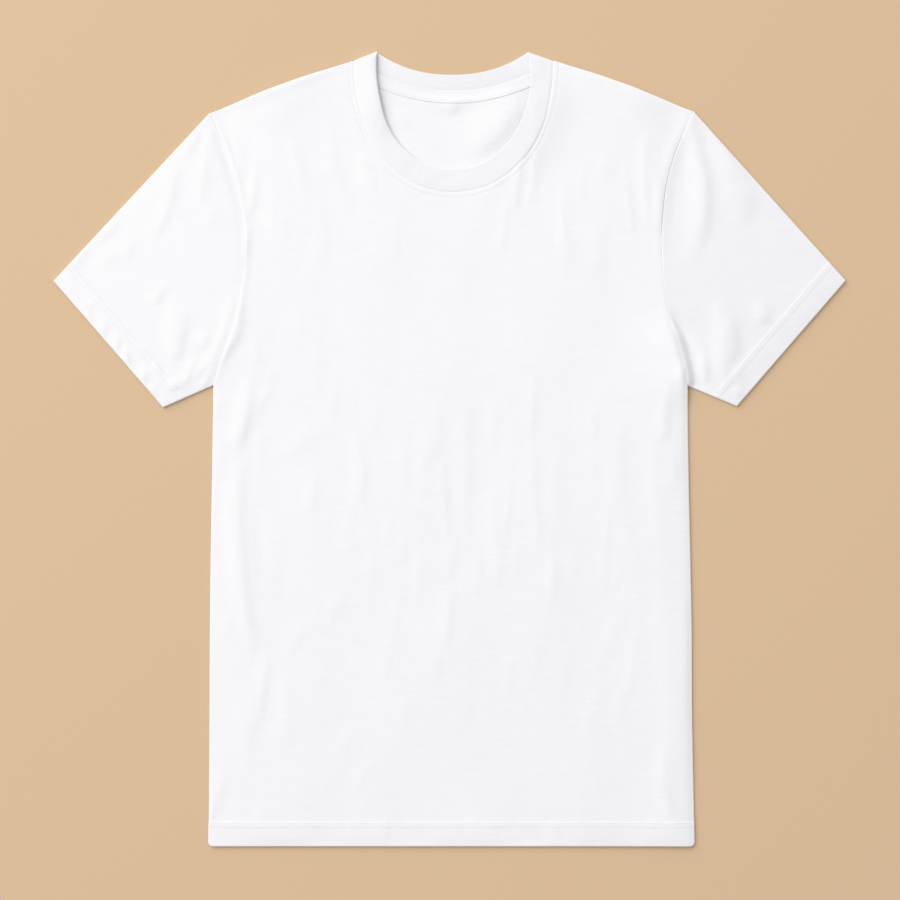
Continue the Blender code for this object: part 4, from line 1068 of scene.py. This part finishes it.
def sleeve_layer(side, shallow, rows_top, rows_under, across):
    """Plan of one layer: rows from the armhole to the cuff, columns from the top fold to the under one."""
    ends = {k: np.array(v[side]) for k, v in (("tip", TIP), ("under", UNDERARM), ("ct", CUFF_TOP), ("cb", CUFF_BOTTOM))}
    arm = armhole(side, np.linspace(0, 1, 400), shallow)
    top = mix(ends["tip"], ends["ct"], np.linspace(0, 1, 60))
    low = mix(ends["under"], ends["cb"], np.linspace(0, 1, 60))
    cuff = mix(ends["ct"], ends["cb"], np.linspace(0, 1, 60))
    if side == "left":                                       # anticlockwise from the underarm
        p, _ = build_loop([("arm", arm[::-1], -0.12, 0, 1 - across[::-1]), ("top", top, FOLD_R, 0, rows_top),
                           ("cuff", cuff, ROLL_HEM, 0, across), ("low", low[::-1], FOLD_R, 0, 1 - rows_under[::-1])])
        arm, top, cuff, low = p["arm"][::-1], p["top"], p["cuff"], p["low"][::-1]
    else:
        p, _ = build_loop([("arm", arm, -0.12, 0, across), ("low", low, FOLD_R, 0, rows_under),
                           ("cuff", cuff[::-1], ROLL_HEM, 0, 1 - across[::-1]),
                           ("top", top[::-1], FOLD_R, 0, 1 - rows_top[::-1])])
        arm, top, cuff, low = p["arm"], p["top"][::-1], p["cuff"][::-1], p["low"]
    d = np.concatenate([[0], np.cumsum(np.linalg.norm(np.diff(top, axis=0), axis=1))])
    g = 1 - (1 - d / d[-1]) ** 3
    # rows run armhole to cuff, so the blend's "bottom" is the armhole
    return coons(arm, cuff, top, low, across, g)


def grid_normals(p):
    """Unit normals of a grid closed round its second axis."""
    du = np.empty_like(p)
    du[1:-1] = p[2:] - p[:-2]
    du[0], du[-1] = p[1] - p[0], p[-1] - p[-2]
    dv = np.roll(p, -1, axis=1) - np.roll(p, 1, axis=1)
    n = np.cross(du, dv)
    return n / np.maximum(np.linalg.norm(n, axis=2), 1e-12)[..., None]


def make_sleeve(side):
    across = steps(230.0, 3.0, start=(0.0, 0.8, 1.8, 3.2), end=(0.0, 0.8, 1.8, 3.2))
    seam_rows = [0.0, 0.07, 0.22, 0.45, 0.8, 1.4, 2.4, 3.8, 5.6]
    n_mid = 52
    top_len = float(np.linalg.norm(np.subtract(CUFF_TOP[side], TIP[side])))
    low_len = float(np.linalg.norm(np.subtract(CUFF_BOTTOM[side], UNDERARM[side])))
    rows = []
    for ln, slant in ((top_len, 0.995), (low_len, 0.956)):
        end = [(c - ROLL_HEM) / slant for c in CUFF_ROWS]
        scale = 1.0 if ln > 100 else 0.55
        start = [s * scale for s in seam_rows]
        room = ln - start[-1] - end[-1]
        mid = [start[-1] + room * k / n_mid for k in range(1, n_mid)]
        rows.append(np.array(start + mid + [ln - e for e in reversed(end)]) / ln)
    up = sleeve_layer(side, 0.0, rows[0], rows[1], across)
    dn = sleeve_layer(side, BACK_ARM_SHALLOW, rows[0], rows[1], across)
    nu, nv = up.shape[:2]
    q = up.reshape(-1, 2)
    zt = upper(q, side)
    deep, run = cuff_distance(side, q)
    zt += hem_band(deep, run, 33.3 if side == "left" else 44.4)
    seam, _, along_arm = ARM[side].near(q)
    r = 0.45 + (0.55 if side == "right" else 0.35) * smooth((185.0 - along_arm) / 40.0)
    dip = r - np.sqrt(np.maximum(r * r - np.maximum(r - seam, 0) ** 2, 0.0))
    zt -= np.where(seam < r, dip, 0.0)
    zt = zt.reshape(nu, nv)
    ql = dn.reshape(-1, 2)
    deep, _ = cuff_distance(side, ql)
    lift = back_rise(ql)
    lift += 0.28 * smooth((deep - HEM_DEEP) / 1.2) * np.exp(-np.maximum(deep - HEM_DEEP, 0) / 10.0) * \
        smooth(SIL.near(ql)[0] / 12.0)
    for row in (HEM_LOW_ROW, HEM_HIGH_ROW):
        lift += 0.16 * np.exp(-((deep - row) / 0.5) ** 2)
    zl = lift.reshape(nu, nv)
    # folds: half rounds between the two layers at the top and the underarm
    d_top = np.subtract(CUFF_TOP[side], TIP[side]) / top_len
    d_low = np.subtract(CUFF_BOTTOM[side], UNDERARM[side]) / low_len
    out_top = np.array([d_top[1], -d_top[0]]) * (1 if side == "right" else -1) * -1
    out_low = np.array([d_low[1], -d_low[0]]) * (1 if side == "right" else -1)
    ring = [np.concatenate([up, zt[..., None]], axis=2)]

    def fold(i, out):
        a = np.pi * np.arange(1, FOLD_ARC) / FOLD_ARC
        xy = (up[:, i] + dn[:, i]) / 2
        c, rr = (zt[:, i] + zl[:, i]) / 2, (zt[:, i] - zl[:, i]) / 2
        g = np.empty((nu, FOLD_ARC - 1, 3))
        t = a[None] / np.pi
        for k in range(2):
            base = up[:, i, k][:, None] * (1 - t) + dn[:, i, k][:, None] * t
            g[..., k] = base + out[k] * FOLD_R * np.sin(a)[None]
        g[..., 2] = c[:, None] + rr[:, None] * np.cos(a)[None]
        return g

    ring.append(fold(-1, out_low))
    ring.append(np.concatenate([dn, zl[..., None]], axis=2)[:, ::-1])
    ring.append(fold(0, out_top)[:, ::-1])
    p = np.concatenate(ring, axis=1)
    n = grid_normals(p)
    if n[nu // 2, nv // 2, 2] < 0:
        n = -n
    # the cuff's edge rolls in
    o = p[-1] - p[-2]
    o -= n[-1] * (o * n[-1]).sum(1)[:, None]
    o /= np.linalg.norm(o, axis=1)[:, None]
    outer, nrm = [p], [n]
    for k in range(1, 6):
        a = math.radians(175) * k / 5
        outer.append((p[-1] + ROLL_HEM * 0.95 * (math.sin(a) * o + (math.cos(a) - 1) * n[-1]))[None])
        nrm.append((math.sin(a) * o + math.cos(a) * n[-1])[None])
    outer, nrm = np.concatenate(outer), np.concatenate(nrm)
    inner = outer - nrm * 0.58
    rows_n, cols_n = outer.shape[:2]
    idx = np.arange(rows_n * cols_n).reshape(rows_n, cols_n)
    total = rows_n * cols_n
    a, b = idx[:-1], idx[1:]
    quads = np.stack([a, b, np.roll(b, -1, axis=1), np.roll(a, -1, axis=1)], axis=-1).reshape(-1, 4)
    pts = np.concatenate([outer.reshape(-1, 3), inner.reshape(-1, 3)])
    # make the outer faces point out
    t = quads[(nu // 2) * cols_n + nv // 2]
    c = np.cross(pts[t[1]] - pts[t[0]], pts[t[2]] - pts[t[0]])
    if c[2] < 0:
        quads = quads[:, ::-1]
        flip = True
    else:
        flip = False
    faces = [tuple(f) for f in quads] + [tuple(int(i) + total for i in f[::-1]) for f in quads]
    for e in (0, rows_n - 1):
        ring_ids = idx[e]
        for i in range(cols_n):
            j = (i + 1) % cols_n
            f = (ring_ids[i], ring_ids[j], ring_ids[j] + total, ring_ids[i] + total)
            if (e == 0) == flip:
                f = f[::-1]
            faces.append(tuple(int(x) for x in f))
    return to_object("tee_sleeve_" + side, pts, faces, JERSEY_L if side == "left" else JERSEY_R_PAINTED_SHADE)


# ------------------------------------------------------------------ neck rib
def front_station(turn):
    seam = neck_front(turn)
    free = neck_front(turn, FREE_CENTRE, FREE_HALF, FREE_DROP)
    lean = np.maximum(0.0, 1 - np.minimum(turn, 1 - turn) / 0.12) ** 2
    free = free + stack(np.where(turn < 0.5, 2.6, -3.6) * lean, 6.0 * lean)
    free = free + stack(1.9 * np.exp(-((turn - 0.10) / 0.07) ** 2), 0.0 * turn)
    return (np.column_stack([seam, hermite(NECK_TURN, SEAM_MID, turn)]),
            np.column_stack([free, hermite(NECK_TURN, FREE_MID, turn)]))


def back_station(u):
    return (np.column_stack([neck_back(u), np.full(len(u), 0.85)]),
            np.column_stack([neck_back_free(u), 0.95 + BACK_STAND * (1 - u * u)]))


FOLD_LINE = {"left": ((-92.3, 372.6), (-70.1, 381.3)), "right": ((99.3, 372.6), (75.2, 380.6))}


def turn_over(side, count):
    """Stations round the shoulder fold, from the back's level up to the front's."""
    sign = SIGN[side]
    below = [p[0] for p in back_station(np.array([sign * 0.985]))]
    above = [p[0] for p in front_station(np.array([0.003 if side == "left" else 0.997]))]
    seam, free = (np.array(p) for p in FOLD_LINE[side])
    d = (free - seam) / np.linalg.norm(free - seam)
    normal = np.array([-d[1], d[0]]) if side == "left" else np.array([d[1], -d[0]])
    a = np.pi * (np.arange(count) / (count - 1) - 0.5)
    out = []
    for low, high, reach in zip(below, above, (seam, free)):
        p = mix(low, high, (np.sin(a) + 1) / 2)
        far = reach - normal * 0.9 - (low[:2] + high[:2]) / 2
        p[:, :2] += far[None] * np.cos(a)[:, None]
        out.append(p)
    return out


def rib_lines():
    """The seam line and the free line all round, in even steps."""
    t = np.linspace(0.003, 0.997, 700)
    front = front_station(t)
    back = back_station(np.linspace(0.985, -0.985, 420))
    r, l = turn_over("right", 40), turn_over("left", 40)
    seam = np.concatenate([front[0], r[0][::-1][1:-1], back[0], l[0][1:-1]])
    free = np.concatenate([front[1], r[1][::-1][1:-1], back[1], l[1][1:-1]])
    for _ in range(6):
        seam = (np.roll(seam, 1, axis=0) + 2 * seam + np.roll(seam, -1, axis=0)) / 4
        free = (np.roll(free, 1, axis=0) + 2 * free + np.roll(free, -1, axis=0)) / 4
    mid = (seam + free) / 2
    mid = np.vstack([mid, mid[:1]])
    d = np.concatenate([[0], np.cumsum(np.linalg.norm(np.diff(mid, axis=0), axis=1))])
    count = int(round(d[-1] / 0.5))
    at = np.linspace(0, d[-1], count, endpoint=False)
    seam, free = np.vstack([seam, seam[:1]]), np.vstack([free, free[:1]])
    pick = lambda p: np.stack([np.interp(at, d, p[:, k]) for k in range(3)], axis=1)
    return pick(seam), pick(free), at, d[-1]


RIB_WALL = 1.7
RIB_FACE = [0.0, 0.03, 0.08, 0.16, 0.28, 0.42, 0.56, 0.70, 0.82, 0.91, 0.97, 1.0]    # shares of the width


def make_rib():
    seam, free, run, total = rib_lines()
    count = len(seam)
    across = free - seam
    w = np.linalg.norm(across, axis=1)
    e = across / w[:, None]
    mid = (seam + free) / 2
    t = np.roll(mid, -1, axis=0) - np.roll(mid, 1, axis=0)
    t -= e * (t * e).sum(1)[:, None]
    t /= np.linalg.norm(t, axis=1)[:, None]
    n = np.cross(t, e)
    for _ in range(8):
        n = (np.roll(n, 1, axis=0) + 2 * n + np.roll(n, -1, axis=0)) / 4
    n /= np.linalg.norm(n, axis=1)[:, None]
    half = RIB_WALL / 2
    wales = 0.05 * np.sin(run * 2 * math.pi / 1.45) * (1 + 0.5 * np.sin(run / 2.9) * np.sin(run / 7.3 + 0.6))

    def uneven(a):
        """The rib's face is never quite even."""
        a = np.broadcast_to(a, w.shape)
        return np.array([0.42 * noise.noise(Vector((r / 24.0, b / 16.0, 3.3))) +
                         0.16 * noise.noise(Vector((r / 6.5, b / 5.0, 9.1))) +
                         0.045 * noise.noise(Vector((r / 2.3, b / 2.6, 5.7))) for r, b in zip(run, a)])

    lip = 0.5                                                # the free edge is rounded over this far
    # the face bows down towards its free edge, most on the left, where it stands highest
    west = np.exp(-((mid[:, 0] + 76.0) / 26.0) ** 2) * smooth((mid[:, 2] - 2.0) / 1.6)
    drop = 1.25 * west
    # the seam's groove is deepest high on the left
    deep = 0.42 + 0.48 * smooth((-40.0 - mid[:, 0]) / 35.0)
    pts = []

    def section(a, b):
        pts.append(seam + e * np.broadcast_to(a, w.shape)[:, None] + n * np.broadcast_to(b, w.shape)[:, None])

    start, inner = -0.6, w - lip + 0.6
    for f in RIB_FACE:                                       # outside face, from the seam to the free edge
        a = start + inner * f
        bow = math.sin(math.pi * f) ** 0.8
        b = half - deep * np.exp(-(np.maximum(a + 0.6, 0) / 1.1) ** 2) + 0.10 * np.exp(-((a - 1.5) / 0.9) ** 2)
        section(a, b + 0.08 * bow - drop * np.clip((a - w + 6.0) / 6.0, 0.0, 1.0) ** 1.8 + (wales + uneven(a) * bow) * smooth(a / 2.0))
    for k in range(1, 8):                                    # rounded free edge
        th = math.pi * k / 8
        section(start + inner + lip * math.sin(th),
                half * math.cos(th) - drop + wales * 0.7 * math.sin(th))
    for f in RIB_FACE[::-1]:                                 # inside face
        a = start + inner * f
        b = -half + 0.30 * np.exp(-(np.maximum(a + 0.6, 0) / 2.4) ** 2)
        section(a, b - 0.10 * math.sin(math.pi * f) - drop * np.clip((a - w + 6.0) / 6.0, 0.0, 1.0) ** 1.8 +
                wales * smooth(a / 2.0))
    section(start - 0.18 + 0 * w, -0.42 + 0 * w)             # seam edge
    section(start - 0.22 + 0 * w, -0.12 + 0 * w)
    section(start - 0.16 + 0 * w, 0.14 + 0 * w)
    p = np.stack(pts, axis=1)                                # station, section, xyz
    # where the strip's two ends are joined, at the back on the right
    a, b = np.array([65.6, 372.5]), np.array([72.3, 362.0])
    u = (b - a) / np.linalg.norm(b - a)
    off = p[..., :2] - a
    away = np.abs(off[..., 0] * u[1] - off[..., 1] * u[0])
    join_line = (p[..., 0] > 58) & (p[..., 0] < 80) & (p[..., 1] > 350) & (p[..., 2] > mid[:, None, 2])
    p[..., 2] -= np.where(join_line & (mid[:, None, 2] < 2.6), 0.20 * np.exp(-(away / 0.55) ** 2), 0.0)
    p[..., 2] = np.maximum(p[..., 2], 0.0)                   # flat where it rests
    m = p.shape[1]
    idx = np.arange(count * m).reshape(count, m)
    a, b = idx, np.roll(idx, -1, axis=0)
    quads = np.stack([a, b, np.roll(b, -1, axis=1), np.roll(a, -1, axis=1)], axis=-1).reshape(-1, 4)
    return to_object("tee_rib", p.reshape(-1, 3), quads, RIB_KNIT)


# ------------------------------------------------------------------ tape inside the back neck
TAPE_TOP, TAPE_WIDE, TAPE_REACH = -0.7, 11.7, 0.86


def tape_point(u, down):
    """A point moved down the back panel from the back neck seam."""
    p, q = neck_back(u), neck_back(u + 0.004)
    d = q - p
    d /= np.linalg.norm(d, axis=-1)[..., None]
    return stack(p[..., 0] + d[..., 1] * down, p[..., 1] - d[..., 0] * down)


def tape_height(q, down):
    """Underside and upper face; down is measured from the seam."""
    over = smooth(1 - down / 9.0)
    low = (back_top(q) + 0.05) * (1 - over) + 1.75 * over
    edge = TAPE_TOP + TAPE_WIDE
    body = 0.24 + 0.24 * smooth((down - TAPE_TOP) / 2.4)
    body = body - 0.10 * np.exp(-((down - edge + 1.7) / 0.45) ** 2)
    return low, low + body


def make_tape():
    u = np.linspace(-TAPE_REACH, TAPE_REACH, 91)
    downs = TAPE_TOP + np.array([0, 0.4, 0.8, 1.2, 1.6, 2.0, 2.4, 2.9, 3.5, 4.3, 5.3, 6.5, 7.7, 8.8, 9.5, 9.8, 10.1,
                                 10.4, 10.9, 11.3, TAPE_WIDE])
    g = np.stack([tape_point(u, d) for d in downs[::-1]], axis=0)
    mesh = Mesh()
    mesh.add(g)
    down = np.repeat(downs[::-1][:, None], len(u), axis=1).reshape(-1)
    low, high = tape_height(g.reshape(-1, 2), down)
    return slab("tee_tape", mesh, low, high, TAPE_WEAVE)


# ------------------------------------------------------------------ stitches
def stitch_mesh(rows, sides=6, rings=5, hole=0.30):
    """rows are (points of a path, normals, pitch, stitch length, radius, sink, and the size of the
    painted-shade lozenge at each needle hole if not the usual one)."""
    pts, faces = [], []
    for path, nrm, pitch, ln, rad, sink, *own in rows:
        size = own[0] if own else hole
        path, nrm = np.asarray(path, float), np.asarray(nrm, float)
        d = np.concatenate([[0], np.cumsum(np.linalg.norm(np.diff(path, axis=0), axis=1))])
        count = int(d[-1] // pitch)
        for i in range(count):
            s0 = i * pitch + (pitch - ln) / 2
            at = s0 + ln * np.linspace(0, 1, rings)
            c = np.stack([np.interp(at, d, path[:, k]) for k in range(3)], axis=1)
            nn = np.stack([np.interp(at, d, nrm[:, k]) for k in range(3)], axis=1)
            nn /= np.linalg.norm(nn, axis=1)[:, None]
            tt = np.gradient(c, axis=0)
            tt /= np.linalg.norm(tt, axis=1)[:, None]
            bb = np.cross(nn, tt)
            f = np.linspace(0, 1, rings)
            prof = np.maximum(np.sin(np.pi * np.clip(f, 0.06, 0.94)), 0.2) ** 0.45
            c = c + nn * (rad * 0.9 * np.sin(np.pi * f) - sink)[:, None]
            base = len(pts)
            for r in range(rings):
                for k in range(sides):
                    a = 2 * math.pi * k / sides
                    pts.append(c[r] + rad * prof[r] * (math.cos(a) * bb[r] + math.sin(a) * nn[r]))
            for r in range(rings - 1):
                for k in range(sides):
                    k2 = (k + 1) % sides
                    faces.append((base + r * sides + k, base + r * sides + k2,
                                  base + (r + 1) * sides + k2, base + (r + 1) * sides + k))
            faces.append(tuple(base + k for k in reversed(range(sides))))
            faces.append(tuple(base + (rings - 1) * sides + k for k in range(sides)))
            # painted shade at the needle hole before it: a small flat dark lozenge
            at = max(s0 - (pitch - ln) / 2, 0.0)
            c = np.array([np.interp(at, d, path[:, k]) for k in range(3)]) + nn[0] * 0.02
            base = len(pts)
            pts.append(c + nn[0] * 0.035)
            for k in range(6):
                a = 2 * math.pi * k / 6
                pts.append(c + tt[0] * math.cos(a) * size + bb[0] * math.sin(a) * size * 0.85)
            pts.append(c - nn[0] * 0.06)
            for k in range(6):
                k2 = (k + 1) % 6
                faces.append((base, base + 1 + k, base + 1 + k2))
                faces.append((base + 7, base + 1 + k2, base + 1 + k))
    return np.array(pts), faces


def stitched(name, rows, sides=6, rings=5, hole=0.30):
    """Stitches as one object, with the needle holes between them as small dark lozenges of painted shade."""
    pts, faces = stitch_mesh(rows, sides, rings, hole)
    ob = to_object(name, pts, faces, THREAD)
    # second material: painted shade on each needle hole's lozenge
    ob.data.materials.append(HOLE_PAINTED_SHADE)
    index = np.zeros(len(faces), int).reshape(-1, (rings - 1) * sides + 14)
    index[:, -12:] = 1
    ob.data.polygons.foreach_set("material_index", index.reshape(-1))
    return ob


def up_path(q, part, extra=0.0):
    q = np.asarray(q, float)
    z = upper(q, part)
    if part != "front":
        deep, run = cuff_distance(part, q)
        z = z + hem_band(deep, run, 33.3 if part == "left" else 44.4)
    return np.column_stack([q, z + extra]), np.tile([0, 0, 1.0], (len(q), 1))


def make_stitches():
    made = []
    rows = []
    for row in (HEM_LOW_ROW, HEM_HIGH_ROW):
        y = HEM_Y + row
        l, r = side_point("left", y), side_point("right", y)
        q = stack(np.linspace(l[0] + 1.4, r[0] - 1.4, 900), np.full(900, y))
        high = row == HEM_HIGH_ROW
        rows.append((*up_path(q, "front"), 2.1, 1.5 if high else 1.35, 0.21 if high else 0.16, 0.0, 0.14 if high else 0.32))
    made.append(stitched("stitch_hem_front", rows))
    rows = []
    for row in (HEM_LOW_ROW, HEM_HIGH_ROW):
        y = HEM_Y + row
        l, r = side_point("left", y), side_point("right", y)
        x = np.linspace(l[0] + 3, r[0] - 3, 900)
        q = stack(x, np.full(900, y))
        z = back_rise(q) + 0.27
        rows.append((np.column_stack([q, z]), np.tile([0, 0, -1.0], (900, 1)), 2.1, 1.4, 0.16, 0.02))
    made.append(stitched("stitch_hem_back", rows))
    for side in ("left", "right"):
        rows = []
        a, b = np.array(CUFF_TOP[side]), np.array(CUFF_BOTTOM[side])
        d = (b - a) / np.linalg.norm(b - a)
        inward = np.array([-d[1], d[0]]) if side == "left" else np.array([d[1], -d[0]])
        if (np.array([0.0, 200.0]) - a) @ inward < 0:
            inward = -inward
        ln = float(np.linalg.norm(b - a))
        for row in (HEM_LOW_ROW, HEM_HIGH_ROW):
            s = np.linspace(-30, ln + 30, 900)
            q = a + d * s[:, None] + inward * row
            # keep what lies between the two folds
            t, u = np.array(TIP[side]), np.array(UNDERARM[side])
            dt, du = (a - t) / np.linalg.norm(a - t), (b - u) / np.linalg.norm(b - u)
            in_top = np.abs((q - t) @ np.array([-dt[1], dt[0]]))
            in_low = np.abs((q - u) @ np.array([-du[1], du[0]]))
            cross_top = np.sign((q - t) @ np.array([-dt[1], dt[0]])) == np.sign((u - t) @ np.array([-dt[1], dt[0]]))
            cross_low = np.sign((q - u) @ np.array([-du[1], du[0]])) == np.sign((t - u) @ np.array([-du[1], du[0]]))
            keep = cross_top & cross_low & (in_top > 1.4) & (in_low > 1.4)
            q = q[keep]
            bright = side == "right" and row == HEM_HIGH_ROW
            rows.append((*up_path(q, side), 2.1, 1.4, 0.21 if bright else 0.16, 0.0, 0.12 if bright else 0.24))
            z = back_rise(q) + 0.27
            rows.append((np.column_stack([q, z]), np.tile([0, 0, -1.0], (len(q), 1)), 2.1, 1.4, 0.16, 0.02))
        made.append(stitched("stitch_sleeve_" + side, rows))
    # topstitch on the body round the front neck, 4.8 mm from the seam
    p = neck_front(np.linspace(0.004, 0.996, 900))
    seg = np.gradient(p, axis=0)
    seg /= np.linalg.norm(seg, axis=1)[:, None]
    q = p + stack(seg[:, 1], -seg[:, 0]) * 4.8
    made.append(stitched("stitch_neck", [(*up_path(q, "front"), 2.1, 1.4, 0.15, 0.02)]))
    # tape: short stitches across its upper edge, running ones along its lower edge
    rows = []
    u = np.linspace(-TAPE_REACH * 0.985, TAPE_REACH * 0.985, 600)
    down = np.full(600, TAPE_TOP + TAPE_WIDE - 1.7)
    q = tape_point(u, down)
    rows.append((np.column_stack([q, tape_height(q, down)[1]]), np.tile([0, 0, 1.0], (600, 1)), 1.8, 1.25, 0.16, 0.02))
    n = int(length(neck_back(np.linspace(-TAPE_REACH, TAPE_REACH, 200))) / 1.6)
    for u0 in np.linspace(-TAPE_REACH * 0.98, TAPE_REACH * 0.98, n):
        dd = TAPE_TOP + np.linspace(0.5, 2.3, 4)
        q = np.array([tape_point(np.array(u0), x) for x in dd])
        rows.append((np.column_stack([q, tape_height(q, dd)[1]]), np.tile([0, 0, 1.0], (4, 1)), 1.75, 1.7, 0.2, 0.0))
    made.append(stitched("stitch_tape", rows))
    return made


# ------------------------------------------------------------------ put together
front = make_front()
back = make_back()
sleeves = {s: make_sleeve(s) for s in ("left", "right")}
rib = make_rib()
tape = make_tape()
stitch_hem_front, stitch_hem_back, stitch_left, stitch_right, stitch_neck, stitch_tape = make_stitches()

pieces = [front, back, sleeves["left"], sleeves["right"], rib, tape, stitch_hem_front, stitch_hem_back,
          stitch_left, stitch_right, stitch_neck, stitch_tape]
for ob in pieces:
    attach(ob, "root")
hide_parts("front_panel")
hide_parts("back_panel")
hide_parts("sleeve_left")
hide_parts("sleeve_right")
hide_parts("neck_rib")
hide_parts("neck_tape")

# ------------------------------------------------------------------ stage, light and camera
me = bpy.data.meshes.new("floor")
me.from_pydata([(-12, -12, 0), (12, -12, 0), (12, 12, 0), (-12, 12, 0)], [], [(0, 1, 2, 3)])
floor = bpy.data.objects.new("floor", me)
bpy.context.scene.collection.objects.link(floor)
fm, ftree, fb = nodes_of("floor_plain")
fb.inputs["Base Color"].default_value = (0.66, 0.475, 0.305, 1.0)
fb.inputs["Roughness"].default_value = 0.9
fb.inputs["Specular IOR Level"].default_value = 0.15
me.materials.append(fm)

world = bpy.data.worlds.new("studio")
world.use_nodes = True
bg = world.node_tree.nodes.get("Background") or world.node_tree.nodes.new("ShaderNodeBackground")
bg.inputs["Color"].default_value = (1.0, 0.998, 0.995, 1.0)
bg.inputs["Strength"].default_value = 0.61
bpy.context.scene.world = world

key = bpy.data.lights.new("key", "AREA")
key.shape, key.size = "DISK", 7.6
key.energy = 480.0
key.color = (1.0, 0.998, 0.99)
key_ob = bpy.data.objects.new("key", key)
towards = Vector((-0.62, 0.62, 0.66)).normalized()
key_ob.location = towards * 7.0
key_ob.rotation_euler = towards.to_track_quat("Z", "Y").to_euler()
key_ob.visible_camera = False
bpy.context.scene.collection.objects.link(key_ob)

cam = bpy.data.cameras.new("camera")
cam.lens, cam.sensor_width = 85.0, 36.0
cam.clip_start, cam.clip_end = 0.05, 60.0
cam_ob = bpy.data.objects.new("camera", cam)
cam_ob.location = (0.0003, -0.0009, 0.864 / 36.0 * 85.0 + 0.002)
bpy.context.scene.collection.objects.link(cam_ob)
bpy.context.scene.camera = cam_ob

view = bpy.context.scene.view_settings
view.view_transform = "Standard"
# the film rolls off softly towards white
film = bpy.context.scene.view_settings
film.use_curve_mapping = True
film.curve_mapping.white_level = (1.5, 1.5, 1.5)
curve = film.curve_mapping.curves[3]
while len(curve.points) > 2:
    curve.points.remove(curve.points[1])
curve.points[0].location, curve.points[1].location = (0.0, 0.0), (1.0, 0.997)
for x, y in ((0.30, 0.450), (0.55, 0.825), (0.632, 0.948), (0.655, 0.972), (0.70, 0.984), (0.82, 0.992)):
    curve.points.new(x, y)
for pt in curve.points[:3]:
    pt.handle_type = "VECTOR"
film.curve_mapping.update()
view.look = "None"
view.exposure, view.gamma = 0.0, 1.0
